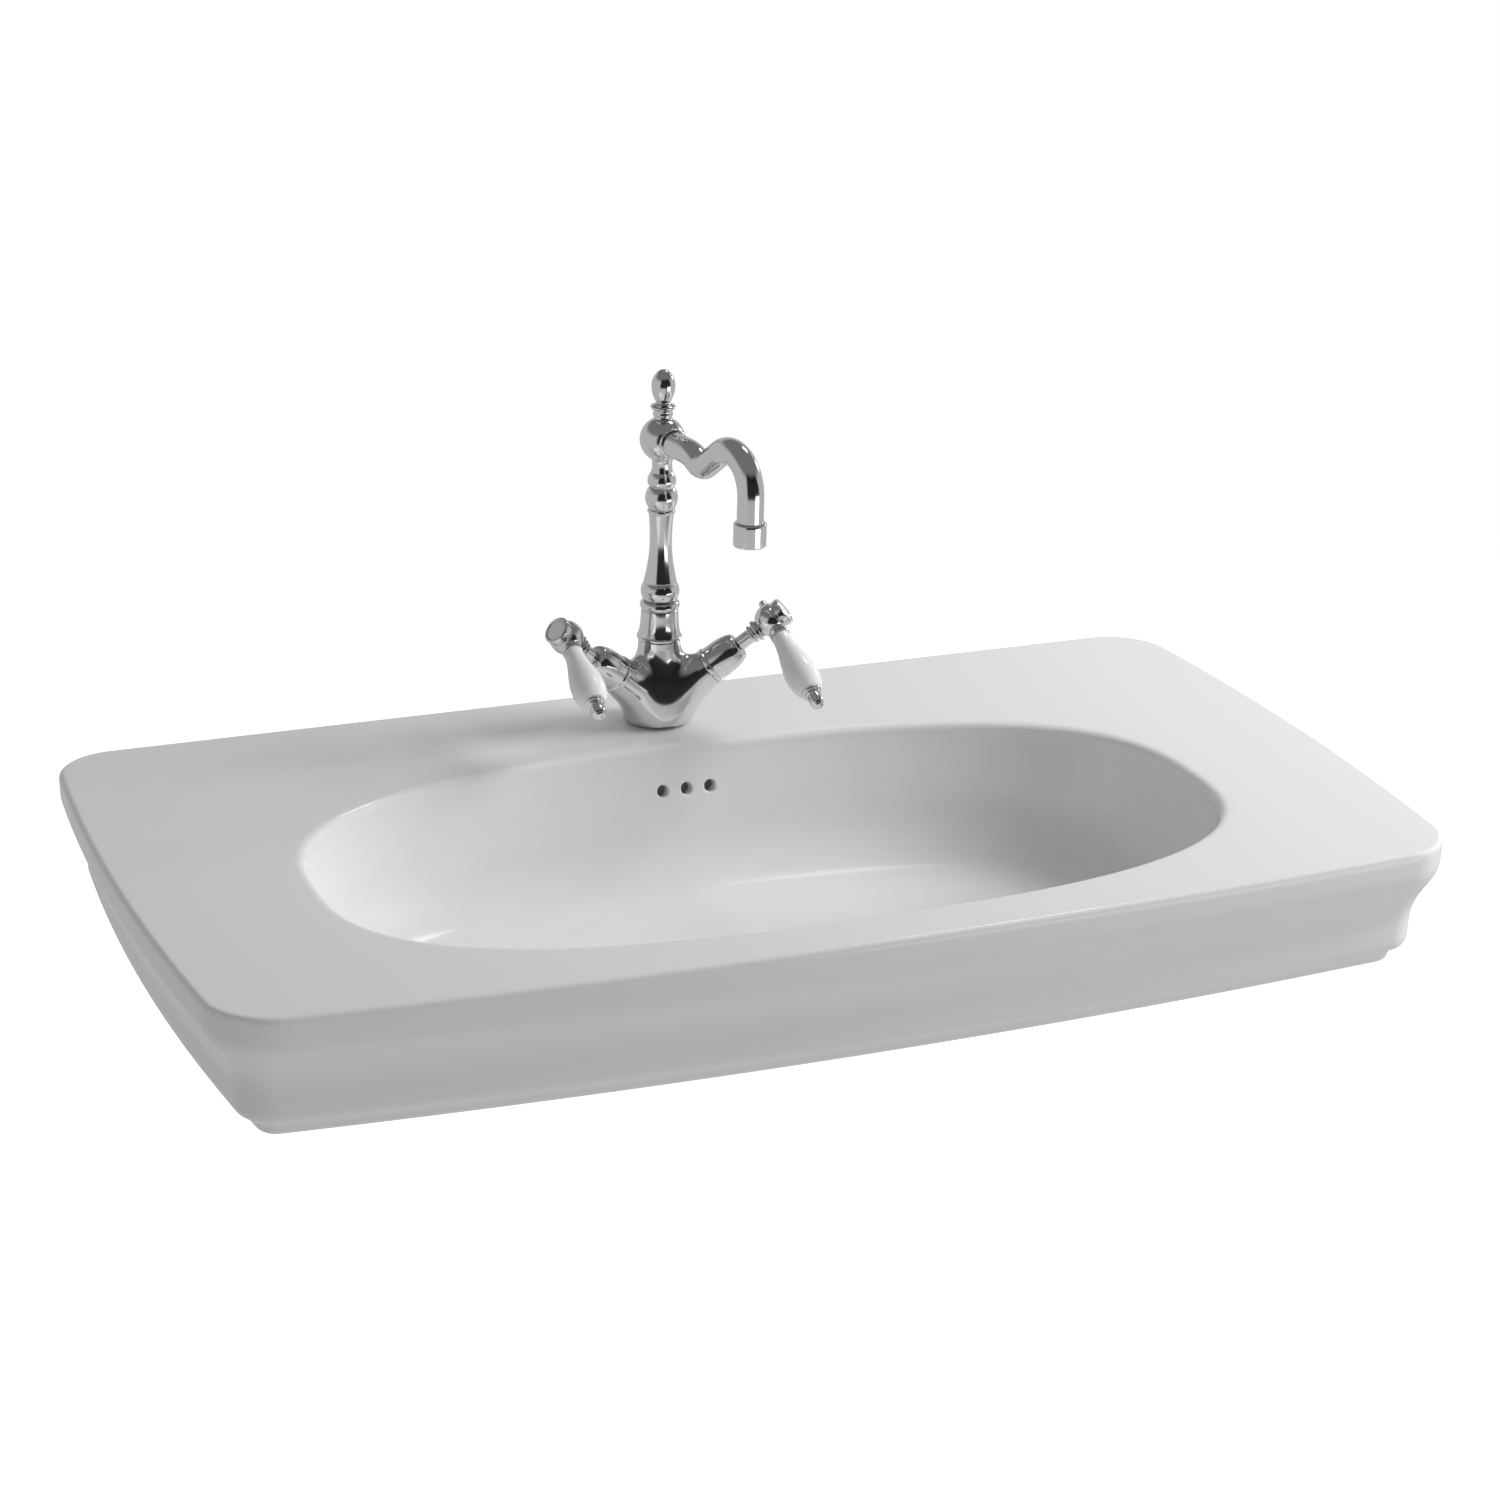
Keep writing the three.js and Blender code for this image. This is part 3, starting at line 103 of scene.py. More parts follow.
class BasinSizes(bpy.types.PropertyGroup):
    """Sizes of the ceramic basin."""

    width: size("Width", "Across the deck at its widest", 1000)
    depth: size("Depth", "From the wall to the front edge", 550)
    side_bow: size("Side bow", "How far each side bulges past its corners", 14)
    front_bow: size("Front bow", "How far the front bulges past its corners", 20.5)
    corner: size("Corner", "Length of side taken up by a rounded corner", 42.5)
    skirt_height: size("Skirt height", "Deck to the underside of the skirt", 107)
    deck_thickness: size("Deck thickness", "Thickness of the deck", 14)
    side_deck: size("Side deck", "Deck beside the bowl", 137.5)
    front_deck: size("Front deck", "Deck in front of the bowl", 47)
    back_deck: size("Back deck", "Deck behind the bowl", 134)
    bowl_depth: size("Bowl depth", "Deck to the lowest point of the bowl", 125)
    bowl_wall: size("Bowl wall", "Thickness of the bowl", 11)
    rim_radius: size("Rim radius", "Round of the bowl's rim", 9)
    grain: size("Mesh spacing", "Distance between points along the outline", 9)


class TapSizes(bpy.types.PropertyGroup):
    """Sizes of the tap."""

    from_wall: size("From the wall", "Wall to the tap's axis", 75.3)
    turn: degrees("Turn", "How far the whole tap is turned on the deck", -3.4)
    body_height: size("Body height", "Deck to the top of the body", 71.4)
    collar_height: size("Collar height", "Height of the column's collar", 33)
    shaft_height: size("Shaft height", "Height of the turned shaft", 96.5)
    arm_length: size("Arm length", "Column's axis to the end of each arm", 55.9)
    arm_rise: degrees("Arm rise", "Slope of each arm", 39.7)
    arm_rake: degrees("Arm rake", "How far each arm points forward", 17.8)
    hot_droop: degrees("Hot droop", "How far the closed hot lever hangs", 26.2)
    cold_droop: degrees("Cold droop", "How far the closed cold lever hangs", 36.1)
    spout_turn: degrees("Spout turn", "How far the spout points to the right", 12.6)
    spout_reach: size("Spout reach", "Column's axis to the outlet's axis", 136)
    blend: size("Blend", "Round where the arms grow out of the body", 17)
    edge: size("Edge", "Round on turned edges", 0.35)


class Finishes(bpy.types.PropertyGroup):
    """Colours of the materials."""

    glaze: colour("Glaze", "White glaze of the basin", (0.80, 0.80, 0.80))
    porcelain: colour("Porcelain", "Lever grips and index discs", (0.87, 0.865, 0.85))
    chrome: colour("Chrome", "Polished plate", (0.70, 0.71, 0.72))
    brass: colour("Brass", "Machined brass", (0.60, 0.44, 0.19))
    steel: colour("Steel", "Zinc-plated steel", (0.52, 0.53, 0.55))
    rubber: colour("Rubber", "Black rubber", (0.022, 0.022, 0.024))
    plastic: colour("Plastic", "Moulded plastic", (0.66, 0.66, 0.64))
    glaze_roughness: number("Glaze roughness", "How soft the glaze's reflections are", 0.085)


class StudioSettings(bpy.types.PropertyGroup):
    """The floor, the lights and the camera."""

    floor_drop: size("Floor drop", "Wall bolts to the floor", 850)
    ambient: number("Ambient", "Light from all around", 0.31, high=4.0)
    key_power: number("Key power", "Power of the large soft light, in watts", 47.0, high=1000.0)
    edge_power: number("Edge power", "Power of the light behind on the right, in watts", 5.0, high=1000.0)
    low_power: number("Low power", "Power of the light on the skirt, in watts", 8.0, high=1000.0)
    top_power: number("Top power", "Power of the small light overhead, in watts", 3.0, high=1000.0)
    lens: number("Lens", "Focal length in millimetres", 86.5, low=10.0, high=300.0)


# ---------------------------------------------------------------- drawn lines


class Section:
    """A line of (across, up) points in millimetres, drawn run by run."""

    def __init__(self, across, up):
        self.points = [Vector((across, up))]

    def to(self, *points, steps=1):
        """Straight runs to each point."""
        for across, up in points:
            start, end = self.points[-1], Vector((across, up))
            self.points += [start.lerp(end, k / steps) for k in range(1, steps + 1)]
        return self

    def bend(self, control, end, steps=12):
        """A curve with one control point."""
        a, b, c = self.points[-1], Vector(control), Vector(end)
        for k in range(1, steps + 1):
            t = k / steps
            self.points.append(a.lerp(b, t).lerp(b.lerp(c, t), t))
        return self

    def sway(self, first, second, end, steps=20):
        """A curve with two control points."""
        a, b, c, d = self.points[-1], Vector(first), Vector(second), Vector(end)
        for k in range(1, steps + 1):
            t = k / steps
            near = a.lerp(b, t).lerp(b.lerp(c, t), t)
            far = b.lerp(c, t).lerp(c.lerp(d, t), t)
            self.points.append(near.lerp(far, t))
        return self

    def arc(self, centre, radius, first, last, steps=24):
        """Part of a circle between two angles in radians."""
        for k in range(steps + 1):
            angle = first + (last - first) * k / steps
            across = centre[0] + radius * math.cos(angle)
            self.points.append(Vector((across, centre[1] + radius * math.sin(angle))))
        return self

    def eased(self, radius, closed=False, sharpest=math.radians(18)):
        """The points with each corner rounded to the radius, where its neighbours leave room."""
        points = [p for i, p in enumerate(self.points) if i == 0 or (p - self.points[i - 1]).length > 1e-4]
        if closed and (points[0] - points[-1]).length < 1e-4:
            points.pop()
        count, eased = len(points), []
        for i, corner in enumerate(points):
            if not closed and i in (0, count - 1):
                eased.append(corner)
                continue
            before, after = points[i - 1] - corner, points[(i + 1) % count] - corner
            turn = math.pi - before.angle(after)
            if turn < sharpest:
                eased.append(corner)
                continue
            cut = min(radius * math.tan(turn / 2), 0.45 * before.length, 0.45 * after.length)
            start, end = corner + before.normalized() * cut, corner + after.normalized() * cut
            for k in range(5):
                t = k / 4
                eased.append(start.lerp(corner, t).lerp(corner.lerp(end, t), t))
        return eased


def offset(line, distance):
    """An open line of points moved to its left."""
    moved = []
    for i, point in enumerate(line):
        along = (line[min(i + 1, len(line) - 1)] - line[max(i - 1, 0)]).normalized()
        moved.append(Vector((point.x - along.y * distance, point.y + along.x * distance)))
    return moved


# ---------------------------------------------------------------- meshes


def skin(rings, wrap=False):
    """Points and faces of a skin over rings of equal count; a ring of one point is a tip."""
    count = max(len(ring) for ring in rings)
    points, starts = [], []
    for ring in rings:
        starts.append(len(points))
        points.extend(ring)
    rows = list(range(len(rings)))
    pairs = list(zip(rows, rows[1:] + ([0] if wrap else [])))
    faces = []
    for a, b in pairs:
        for i in range(count):
            corners = [(a, i), (a, (i + 1) % count), (b, (i + 1) % count), (b, i)]
            found = [starts[row] + (k if len(rings[row]) > 1 else 0) for row, k in corners]
            faces.append(tuple(dict.fromkeys(found)))
    return points, faces


def turned(line, steps=96, radius=lambda point, angle: point.x):
    """A skin turned about Z from (radius, height) points; it closes on itself where it leaves the axis."""
    open_line = line[0].x < 1e-6 or line[-1].x < 1e-6
    rings = []
    for point in line:
        if point.x < 1e-6:
            rings.append([Vector((0, 0, point.y))])
            continue
        ring = []
        for k in range(steps):
            angle = 2 * math.pi * k / steps
            r = radius(point, angle)
            ring.append(Vector((r * math.cos(angle), r * math.sin(angle), point.y)))
        rings.append(ring)
    return skin(rings, wrap=not open_line)


def thread(bottom, top, pitch, depth, core):
    """A radius rule that cuts a screw thread between two heights where the section is wider than the core."""

    def radius(point, angle):
        if point.x < core or not bottom < point.y < top:
            return point.x
        ramp = min(1, (point.y - bottom) / pitch, (top - point.y) / pitch)
        phase = (point.y / pitch - angle / (2 * math.pi)) % 1
        return point.x - depth * ramp * (1 - abs(2 * phase - 1))

    return radius


def threaded_run(section, r, start, end, pitch):
    """Adds a straight run fine enough to carry a thread."""
    return section.to((r, end), steps=max(2, int(abs(end - start) / pitch * 6)))


def raw_object(name, made, matrix=Matrix.Identity(4)):
    """A linked mesh object from points in millimetres and faces, with its faces turned outwards."""
    points, faces = made
    mesh = bpy.data.meshes.new(name)
    mesh.from_pydata([p * MM for p in points], [], faces)
    work = bmesh.new()
    work.from_mesh(mesh)
    bmesh.ops.remove_doubles(work, verts=work.verts, dist=1e-7)
    bmesh.ops.recalc_face_normals(work, faces=work.faces)
    work.to_mesh(mesh)
    work.free()
    made_object = bpy.data.objects.new(name, mesh)
    bpy.context.scene.collection.objects.link(made_object)
    made_object.matrix_world = matrix
    return made_object


def settle(target):
    """Applies the object's modifiers to its mesh."""
    bpy.context.view_layer.update()
    seen = target.evaluated_get(bpy.context.evaluated_depsgraph_get())
    mesh = bpy.data.meshes.new_from_object(seen)
    target.modifiers.clear()
    target.data = mesh


def combine(target, tools, operation):
    """Joins closed tools to a closed mesh, or cuts them out of it."""
    for tool in tools:
        step = target.modifiers.new("combine", "BOOLEAN")
        step.operation = operation
        step.solver = "MANIFOLD"
        step.object = tool
    settle(target)
    if not target.data.polygons:
        raise RuntimeError(f"{target.name} was lost when it was combined")
    for tool in tools:
        bpy.data.objects.remove(tool)


def dress(target, finish, nodes, body=ROOT, crease=32.0):
    """Smooths a finished piece, gives it its material and lets it stand for its nodes."""
    mesh = target.data
    mesh.polygons.foreach_set("use_smooth", [True] * len(mesh.polygons))
    mesh.set_sharp_from_angle(angle=math.radians(crease))
    mesh.materials.clear()
    mesh.materials.append(material(finish))
    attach(target, body)
    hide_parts(*nodes)
    return target


def make(node, made, matrix, finish, body=ROOT, crease=32.0):
    """A piece that stands for the node of the same name."""
    return dress(raw_object(f"{node}_piece", made, matrix), finish, [node], body, crease)


def cylinder(r, bottom, top, steps=64):
    """A closed round tool."""
    return turned([Vector(p) for p in ((0, bottom), (r, bottom), (r, top), (0, top))], steps)


def ring_section(inner, outer, bottom, top, edge=0.3):
    """The section of a flat ring with eased edges."""
    section = Section(inner, bottom).to((outer, bottom), (outer, top), (inner, top), (inner, bottom))
    return section.eased(edge, True)


def hexagon(across, chamfer_at):
    """A radius rule for a nut: flats at the given distance, chamfered towards both ends."""
    bottom, top = chamfer_at

    def radius(point, angle):
        if point.x < across * 0.45:
            return point.x
        turn = (angle + math.pi / 6) % (math.pi / 3) - math.pi / 6
        flat = across / 2 / math.cos(turn)
        from_end = min(point.y - bottom, top - point.y)
        return min(flat, across * 0.49 + max(from_end, 0) * 1.7)

    return radius


def nut(bore, across, bottom, top):
    """A hexagonal nut with chamfered corners and a countersunk bore."""
    sink = 0.8
    section = Section(bore + sink, bottom).to((across / 2, bottom))
    section.to((across / 2, top), steps=16)
    section.to((bore + sink, top), (bore, top - sink), (bore, bottom + sink), (bore + sink, bottom))
    return turned(section.points[:-1], 96, hexagon(across, (bottom, top)))


def aimed(direction, point):
    """Turns +Z to a direction and moves the origin to a point in millimetres."""
    turn = Vector((0, 0, 1)).rotation_difference(Vector(direction)).to_matrix().to_4x4()
    return Matrix.Translation(Vector(point) * MM) @ turn


# ---------------------------------------------------------------- finishes


class Value:
    """An output socket that can be added, multiplied and so on with others or with numbers."""

    def __init__(self, finish, socket):
        self.finish = finish
        self.socket = socket

    def _sum(self, operation, first, second):
        return self.finish.add("ShaderNodeMath", {"operation": operation}, {0: first, 1: second})

    def __add__(self, other):
        return self._sum("ADD", self, other)

    def __sub__(self, other):
        return self._sum("SUBTRACT", self, other)

    def __mul__(self, other):
        return self._sum("MULTIPLY", self, other)

    def __pow__(self, other):
        return self._sum("POWER", self, other)

    def __rsub__(self, other):
        return self._sum("SUBTRACT", other, self)

    __radd__ = __add__
    __rmul__ = __mul__


class Finish:
    """A node tree being put together."""

    def __init__(self, tree):
        self.tree = tree

    def add(self, kind, settings=None, inputs=None, output=0):
        """Adds a node: its settings first, then the values or links of its sockets."""
        node = self.tree.nodes.new(kind)
        for name, value in (settings or {}).items():
            if name == "stops":
                ramp = node.color_ramp.elements
                for stop in range(len(value) - len(ramp)):
                    ramp.new(0.5 + 0.01 * stop)
                for element, (position, shade) in zip(ramp, value):
                    element.position = position
                    element.color = (shade, shade, shade, 1)
            else:
                setattr(node, name, value)
        for name, value in (inputs or {}).items():
            self.feed(node.inputs[name], value)
        return Value(self, node.outputs[output])

    def feed(self, socket, value):
        """Links a socket to a value, or sets it."""
        if isinstance(value, Value):
            self.tree.links.new(value.socket, socket)
        else:
            socket.default_value = value

    def cells(self, where, scale):
        """Distance to the nearest of so many scattered points per metre."""
        inputs = {"Vector": where, "Scale": scale, "Randomness": 1}
        return self.add("ShaderNodeTexVoronoi", {"feature": "F1"}, inputs)

    def speckle(self, where, scale, detail=2.0, rough=0.5):
        """Smooth noise from 0 to 1 at so many cells per metre."""
        return self.add("ShaderNodeTexNoise", {"noise_dimensions": "3D"},
                        {"Vector": where, "Scale": scale, "Detail": detail, "Roughness": rough})

    def ramp(self, value, *stops):
        """A grey ramp over a value."""
        return self.add("ShaderNodeValToRGB", {"stops": stops}, {"Fac": value})

    def blend(self, share, first, second):
        """A colour between two colours."""
        settings = {"data_type": "RGBA", "blend_type": "MIX"}
        return self.add("ShaderNodeMix", settings, {0: share, 6: first, 7: second}, output=2)

    def bump(self, height, depth, strength=1.0):
        """A surface normal that follows a height of so many metres."""
        return self.add("ShaderNodeBump", None, {"Height": height, "Distance": depth, "Strength": strength})


def tint(shade, factor):
    """A colour made lighter or darker, with full alpha."""
    return (*[min(1.0, channel * factor) for channel in shade], 1.0)


def start_material(name):
    """A new material, its builder, its surface shader and its object coordinates."""
    made = bpy.data.materials.new(name)
    made.use_nodes = True
    tree = made.node_tree
    finish = Finish(tree)
    where = finish.add("ShaderNodeTexCoord", output=3)
    return made, finish, tree.nodes["Principled BSDF"].inputs, where


def glaze_material(name, shade, roughness, ripple):
    """Thick white glaze: faint cloudiness, a slow ripple and a few pinholes."""
    made, finish, surface, where = start_material(name)
    cloud = finish.speckle(where, 7, 3)
    mottle = finish.speckle(where, 55, 2)
    body = finish.blend(cloud, tint(shade, 0.975), tint(shade, 1.015))
    pinhole = finish.cells(where, 70)
    pit = finish.ramp(pinhole, (0.0, 1), (0.035, 0))
    finish.feed(surface["Base Color"], finish.blend(pit * 0.25, body, tint(shade, 0.8)))
    finish.feed(surface["Roughness"], mottle * 0.05 + cloud * 0.04 + (roughness - 0.045))
    peel = finish.speckle(where, 160, 2)
    height = finish.speckle(where, 28, 1) * ripple + peel * (ripple * 0.12) - pit * 0.15
    finish.feed(surface["Normal"], finish.bump(height, 0.0002))
    surface["IOR"].default_value = 1.52
    surface["Coat Weight"].default_value = 0.35
    surface["Coat Roughness"].default_value = 0.04
    return made


def chrome_material(name, shade):
    """Polished plate over cast brass: a soft swell, fine polishing lines and dried water marks."""
    made, finish, surface, where = start_material(name)
    swell = finish.speckle(where, 95, 2)
    smudge = finish.speckle(where, 60, 4, 0.6)
    mark = finish.ramp(smudge, (0.50, 0), (0.68, 1))
    lines = finish.add("ShaderNodeTexWave", {"bands_direction": "Z", "wave_profile": "SIN"},
                       {"Vector": where, "Scale": 900, "Distortion": 2.0, "Detail": 2.0})
    finish.feed(surface["Base Color"], finish.blend(mark * 0.35, tint(shade, 1.02), tint(shade, 0.86)))
    finish.feed(surface["Roughness"], mark * 0.07 + lines * 0.02 + 0.035)
    finish.feed(surface["Normal"], finish.bump(swell + lines * 0.01, 0.00022))
    surface["Metallic"].default_value = 1.0
    return made


def brass_material(name, shade):
    """Turned brass: tool rings, a slow change of tone and dull patches."""
    made, finish, surface, where = start_material(name)
    tone = finish.speckle(where, 90, 3)
    tarnish = finish.ramp(finish.speckle(where, 210, 4, 0.65), (0.48, 0), (0.75, 1))
    rings = finish.add("ShaderNodeTexWave", {"bands_direction": "Z", "wave_profile": "SAW"},
                       {"Vector": where, "Scale": 620, "Distortion": 1.0, "Detail": 1.0})
    base = finish.blend(tone, tint(shade, 0.88), tint(shade, 1.12))
    finish.feed(surface["Base Color"], finish.blend(tarnish * 0.6, base, tint(shade, 0.55)))
    finish.feed(surface["Roughness"], tarnish * 0.25 + rings * 0.08 + 0.2)
    finish.feed(surface["Normal"], finish.bump(rings, 0.00003))
    surface["Metallic"].default_value = 1.0
    return made


def steel_material(name, shade):
    """Zinc-plated steel: spangle, dull patches and handling marks."""
    made, finish, surface, where = start_material(name)
    spangle = finish.cells(where, 420)
    dull = finish.ramp(finish.speckle(where, 160, 4, 0.6), (0.42, 0), (0.72, 1))
    base = finish.blend(spangle, tint(shade, 1.12), tint(shade, 0.85))
    finish.feed(surface["Base Color"], finish.blend(dull * 0.4, base, tint(shade, 0.62)))
    finish.feed(surface["Roughness"], dull * 0.2 + spangle * 0.08 + 0.26)
    finish.feed(surface["Normal"], finish.bump(spangle + dull * 0.4, 0.00003))
    surface["Metallic"].default_value = 1.0
    return made


def rubber_material(name, shade):
    """Moulded black rubber with a dusty bloom."""
    made, finish, surface, where = start_material(name)
    bloom = finish.ramp(finish.speckle(where, 75, 4, 0.65), (0.45, 0), (0.8, 1))
    grain = finish.speckle(where, 1500, 2)
    finish.feed(surface["Base Color"], finish.blend(bloom * 0.5, tint(shade, 1.0), tint(shade, 3.2)))
    finish.feed(surface["Roughness"], bloom * 0.18 + 0.62)
    finish.feed(surface["Normal"], finish.bump(grain, 0.00006))
    return made


def plastic_material(name, shade):
    """Moulded plastic with a fine spark-eroded texture."""
    made, finish, surface, where = start_material(name)
    tone = finish.speckle(where, 120, 2)
    texture = finish.speckle(where, 2200, 3)
    finish.feed(surface["Base Color"], finish.blend(tone, tint(shade, 0.94), tint(shade, 1.05)))
    finish.feed(surface["Roughness"], tone * 0.1 + texture * 0.08 + 0.38)
    finish.feed(surface["Normal"], finish.bump(texture, 0.00003))
    return made


def material(slot):
    """The finish of a material slot, made the first time it is asked for."""
    if slot in bpy.data.materials:
        return bpy.data.materials[slot]
    shades = bpy.context.scene.washbasin_finishes
    if slot == "glaze":
        return glaze_material(slot, shades.glaze, shades.glaze_roughness, 0.16)
    if slot == "porcelain":
        return glaze_material(slot, shades.porcelain, 0.09, 0.05)
    makers = {"chrome": chrome_material, "brass": brass_material, "steel": steel_material,
              "rubber": rubber_material, "plastic": plastic_material}
    return makers[slot](slot, getattr(shades, slot))


def finish_nodes():
    """Gives every frame node that still shows its slot's finish, in place of the plain one it came with."""
    slots = {part["node"]: part["material_slot"] for part in frame["record"]["subparts"]}
    for name, node in frame["nodes"].items():
        if not node.hide_render:
            node.data.materials.clear()
            node.data.materials.append(material(slots[name]))


# ---------------------------------------------------------------- basin

SKIRT_WALL = 12
BACK_WALL = 12
FRONT_SHARE = 0.9                 # the front steps in a little less than the sides
FOOT_LAND = 10
SQUARENESS = 2.68                 # 2 is an ellipse
WIDEST = 0.526                    # where the bowl is widest, as a share of the way from back to front
BOWL_DRAFT = 0.22                 # how far the wall leans in for each millimetre down
BOWL_STRAIGHT = 50                # depth where the wall starts to turn into the floor
FLOOR_FALL = 13                   # fall of the floor to the waste
FLOOR_TURN = 74                   # how far the wall turns in before the floor
WASTE_FROM_RIM = 166              # waste in front of the bowl's back rim
WASTE_HOLE_R = 23
WASTE_BOSS_R = 46
WASTE_BOSS = 35
FLANGE_SEAT = 4
SEAT_R = 33.5
OVERFLOW_HOLE_R = 5
OVERFLOW_PITCH = 20.5
OVERFLOW_DEPTH = 36
OVERFLOW_PASSAGE = 9
OVERFLOW_WIDTH = 58
OVERFLOW_WALL = 8
TAP_HOLE_R = 17.5
BOLT_PITCH = 280
BOLT_HOLE_R = 7


def deck_frame():
    """The basin's own frame, with its origin on the deck at the wall."""
    return Matrix.Translation((0, 0, DECK * MM))


def outline(sizes, inset, back=0.0):
    """The plan outline as points, anticlockwise from the back right; inset narrows the sides and front."""
    mm = millimetres
    x = mm(sizes.width) / 2 - mm(sizes.side_bow) - inset
    front = -(mm(sizes.depth) - mm(sizes.front_bow) - inset * FRONT_SHARE)
    trim_front = max(mm(sizes.corner) - inset * FRONT_SHARE, 8)
    corners = [Vector(p) for p in ((x, -back), (-x, -back), (-x, front), (x, front))]
    trims = [mm(sizes.corner)] * 2 + [trim_front] * 2
    bows = [0, mm(sizes.side_bow), mm(sizes.front_bow), mm(sizes.side_bow)]
    long_side = round(mm(sizes.width) / mm(sizes.grain))
    short_side = round(mm(sizes.depth) / mm(sizes.grain))
    counts = [long_side, short_side, long_side, short_side]
    sides = []
    for i, start in enumerate(corners):
        run = corners[(i + 1) % 4] - start
        outward = Vector((run.y, -run.x)).normalized()
        first, last = trims[i] / run.length, 1 - trims[(i + 1) % 4] / run.length
        side = []
        for k in range(counts[i] + 1):
            t = first + (last - first) * k / counts[i]
            side.append(start + run * t + outward * (4 * bows[i] * t * (1 - t)))
        sides.append(side)
    points, bend_steps = [], 16
    for i, side in enumerate(sides):
        corner, start, end = corners[(i + 1) % 4], side[-1], sides[(i + 1) % 4][0]
        curve = Section(*start).sway(start.lerp(corner, 0.55), end.lerp(corner, 0.55), end, bend_steps)
        points += side + curve.points[1:-1]
    return points


def skirt_section(sizes):
    """Lip, band, ogee, bead, step and second bead, from the deck down, as (inset, height)."""
    foot = -millimetres(sizes.skirt_height)
    section = Section(6, 0).to((4.2, 0)).bend((0.2, -0.3), (0, -5))
    section.to((0.5, -18), steps=4).sway((1, -34), (17, -42), (19.5, -66), 22).to((20, -83), steps=4)
    section.bend((21, -90), (26.5, -91), 9).bend((33, -95), (33.5, -101), 9)
    return section.bend((36, foot + 1), (46, foot), 10).eased(2.0)


def cavity_section(sizes):
    """The inside of the skirt, from the foot up to the deck's underside."""
    land = 46 + FOOT_LAND
    section = Section(land - 2, -millimetres(sizes.skirt_height)).to((land, -millimetres(sizes.skirt_height)))
    section.to((30 + SKIRT_WALL, -95), (20 + SKIRT_WALL, -80), (12 + SKIRT_WALL, -45), steps=3)
    under = -millimetres(sizes.deck_thickness)
    section.to((SKIRT_WALL, under - 6), steps=3).to((SKIRT_WALL + 6, under))
    return section.eased(6.0)


class Bowl:
    """The bowl's plan and section, worked out from the basin's sizes."""

    def __init__(self, sizes):
        mm = millimetres
        self.reach = mm(sizes.depth) - mm(sizes.back_deck) - mm(sizes.front_deck)
        self.back_deck = mm(sizes.back_deck)
        self.half_width = mm(sizes.width) / 2 - mm(sizes.side_deck)
        self.centre = -(self.back_deck + self.reach * WIDEST)
        self.waste = -(self.back_deck + WASTE_FROM_RIM)
        self.depth = mm(sizes.bowl_depth)
        self.wall = mm(sizes.bowl_wall)
        self.rim = mm(sizes.rim_radius)
        around = [point - Vector((0, self.centre)) for point in outline(sizes, 0)]
        self.headings = [point.normalized() for point in around]

    def ring(self, inset, z, towards_waste=0.0, round_r=SEAT_R):
        """A level ring; it closes on the round waste as towards_waste goes from 0 to 1."""
        share = towards_waste

        def mix(first, last):
            return first + (last - first) * share

        half = mix(self.half_width - inset, round_r)
        back = mix(self.reach * WIDEST - inset, round_r)
        front = mix(self.reach * (1 - WIDEST) - inset, round_r)
        centre = mix(self.centre, self.waste)
        power = mix(SQUARENESS, 2.0)
        ring = []
        for heading in self.headings:
            depth = back if heading.y > 0 else front
            reach = (abs(heading.x / half) ** power + abs(heading.y / depth) ** power) ** (-1 / power)
            ring.append(Vector((heading.x * reach, centre + heading.y * reach, z)))
        return ring

    def section(self):
        """Rim, wall and the turn into the floor as (inset, height) points from the deck down."""
        edge = -0.67 * self.rim
        foot = edge + self.rim + BOWL_DRAFT * (BOWL_STRAIGHT - self.rim)
        floor = -(self.depth - FLOOR_FALL)
        line = Section(edge - 3.5, 0.0).to((edge, -0.05), steps=2)
        line.bend((edge + self.rim, -0.1), (edge + self.rim, -self.rim), 14)
        line.to((foot, -BOWL_STRAIGHT), steps=8)
        line.sway((foot + 6, floor + 25), (foot + 26, floor + 3), (foot + FLOOR_TURN, floor), 26)
        return line.points

    def floor(self, inset, top, bottom, round_r):
        """Rings from the turn to the waste, falling evenly and steepening a little at the end."""
        rings = []
        steps = 16
        for k in range(1, steps + 1):
            share = k / steps
            fall = share * (0.45 + 0.55 * share)
            rings.append(self.ring(inset, top + (bottom - top) * fall, share, round_r))
        return rings

    def level(self, r, z):
        """A round ring about the waste."""
        return [Vector((heading.x * r, self.waste + heading.y * r, z)) for heading in self.headings]

    def back_line(self):
        """The bowl's inner back at its middle as (y, z) points, from under the deck to the waste."""
        wall = [p for p in self.section() if p.y <= -self.rim]
        top = -(OVERFLOW_DEPTH - 2 * OVERFLOW_HOLE_R)
        kept = [Vector((-(self.back_deck + p.x), p.y)) for p in wall if p.y < top]
        start = Vector((-(self.back_deck + wall[0].x + BOWL_DRAFT * (wall[0].y - top)), top))
        return [start, *kept, Vector((self.waste, -self.depth))]


def level_outline(sizes, inset, z, back=0.0):
    """The plan outline as a level ring."""
    return [Vector((p.x, p.y, z)) for p in outline(sizes, inset, back)]


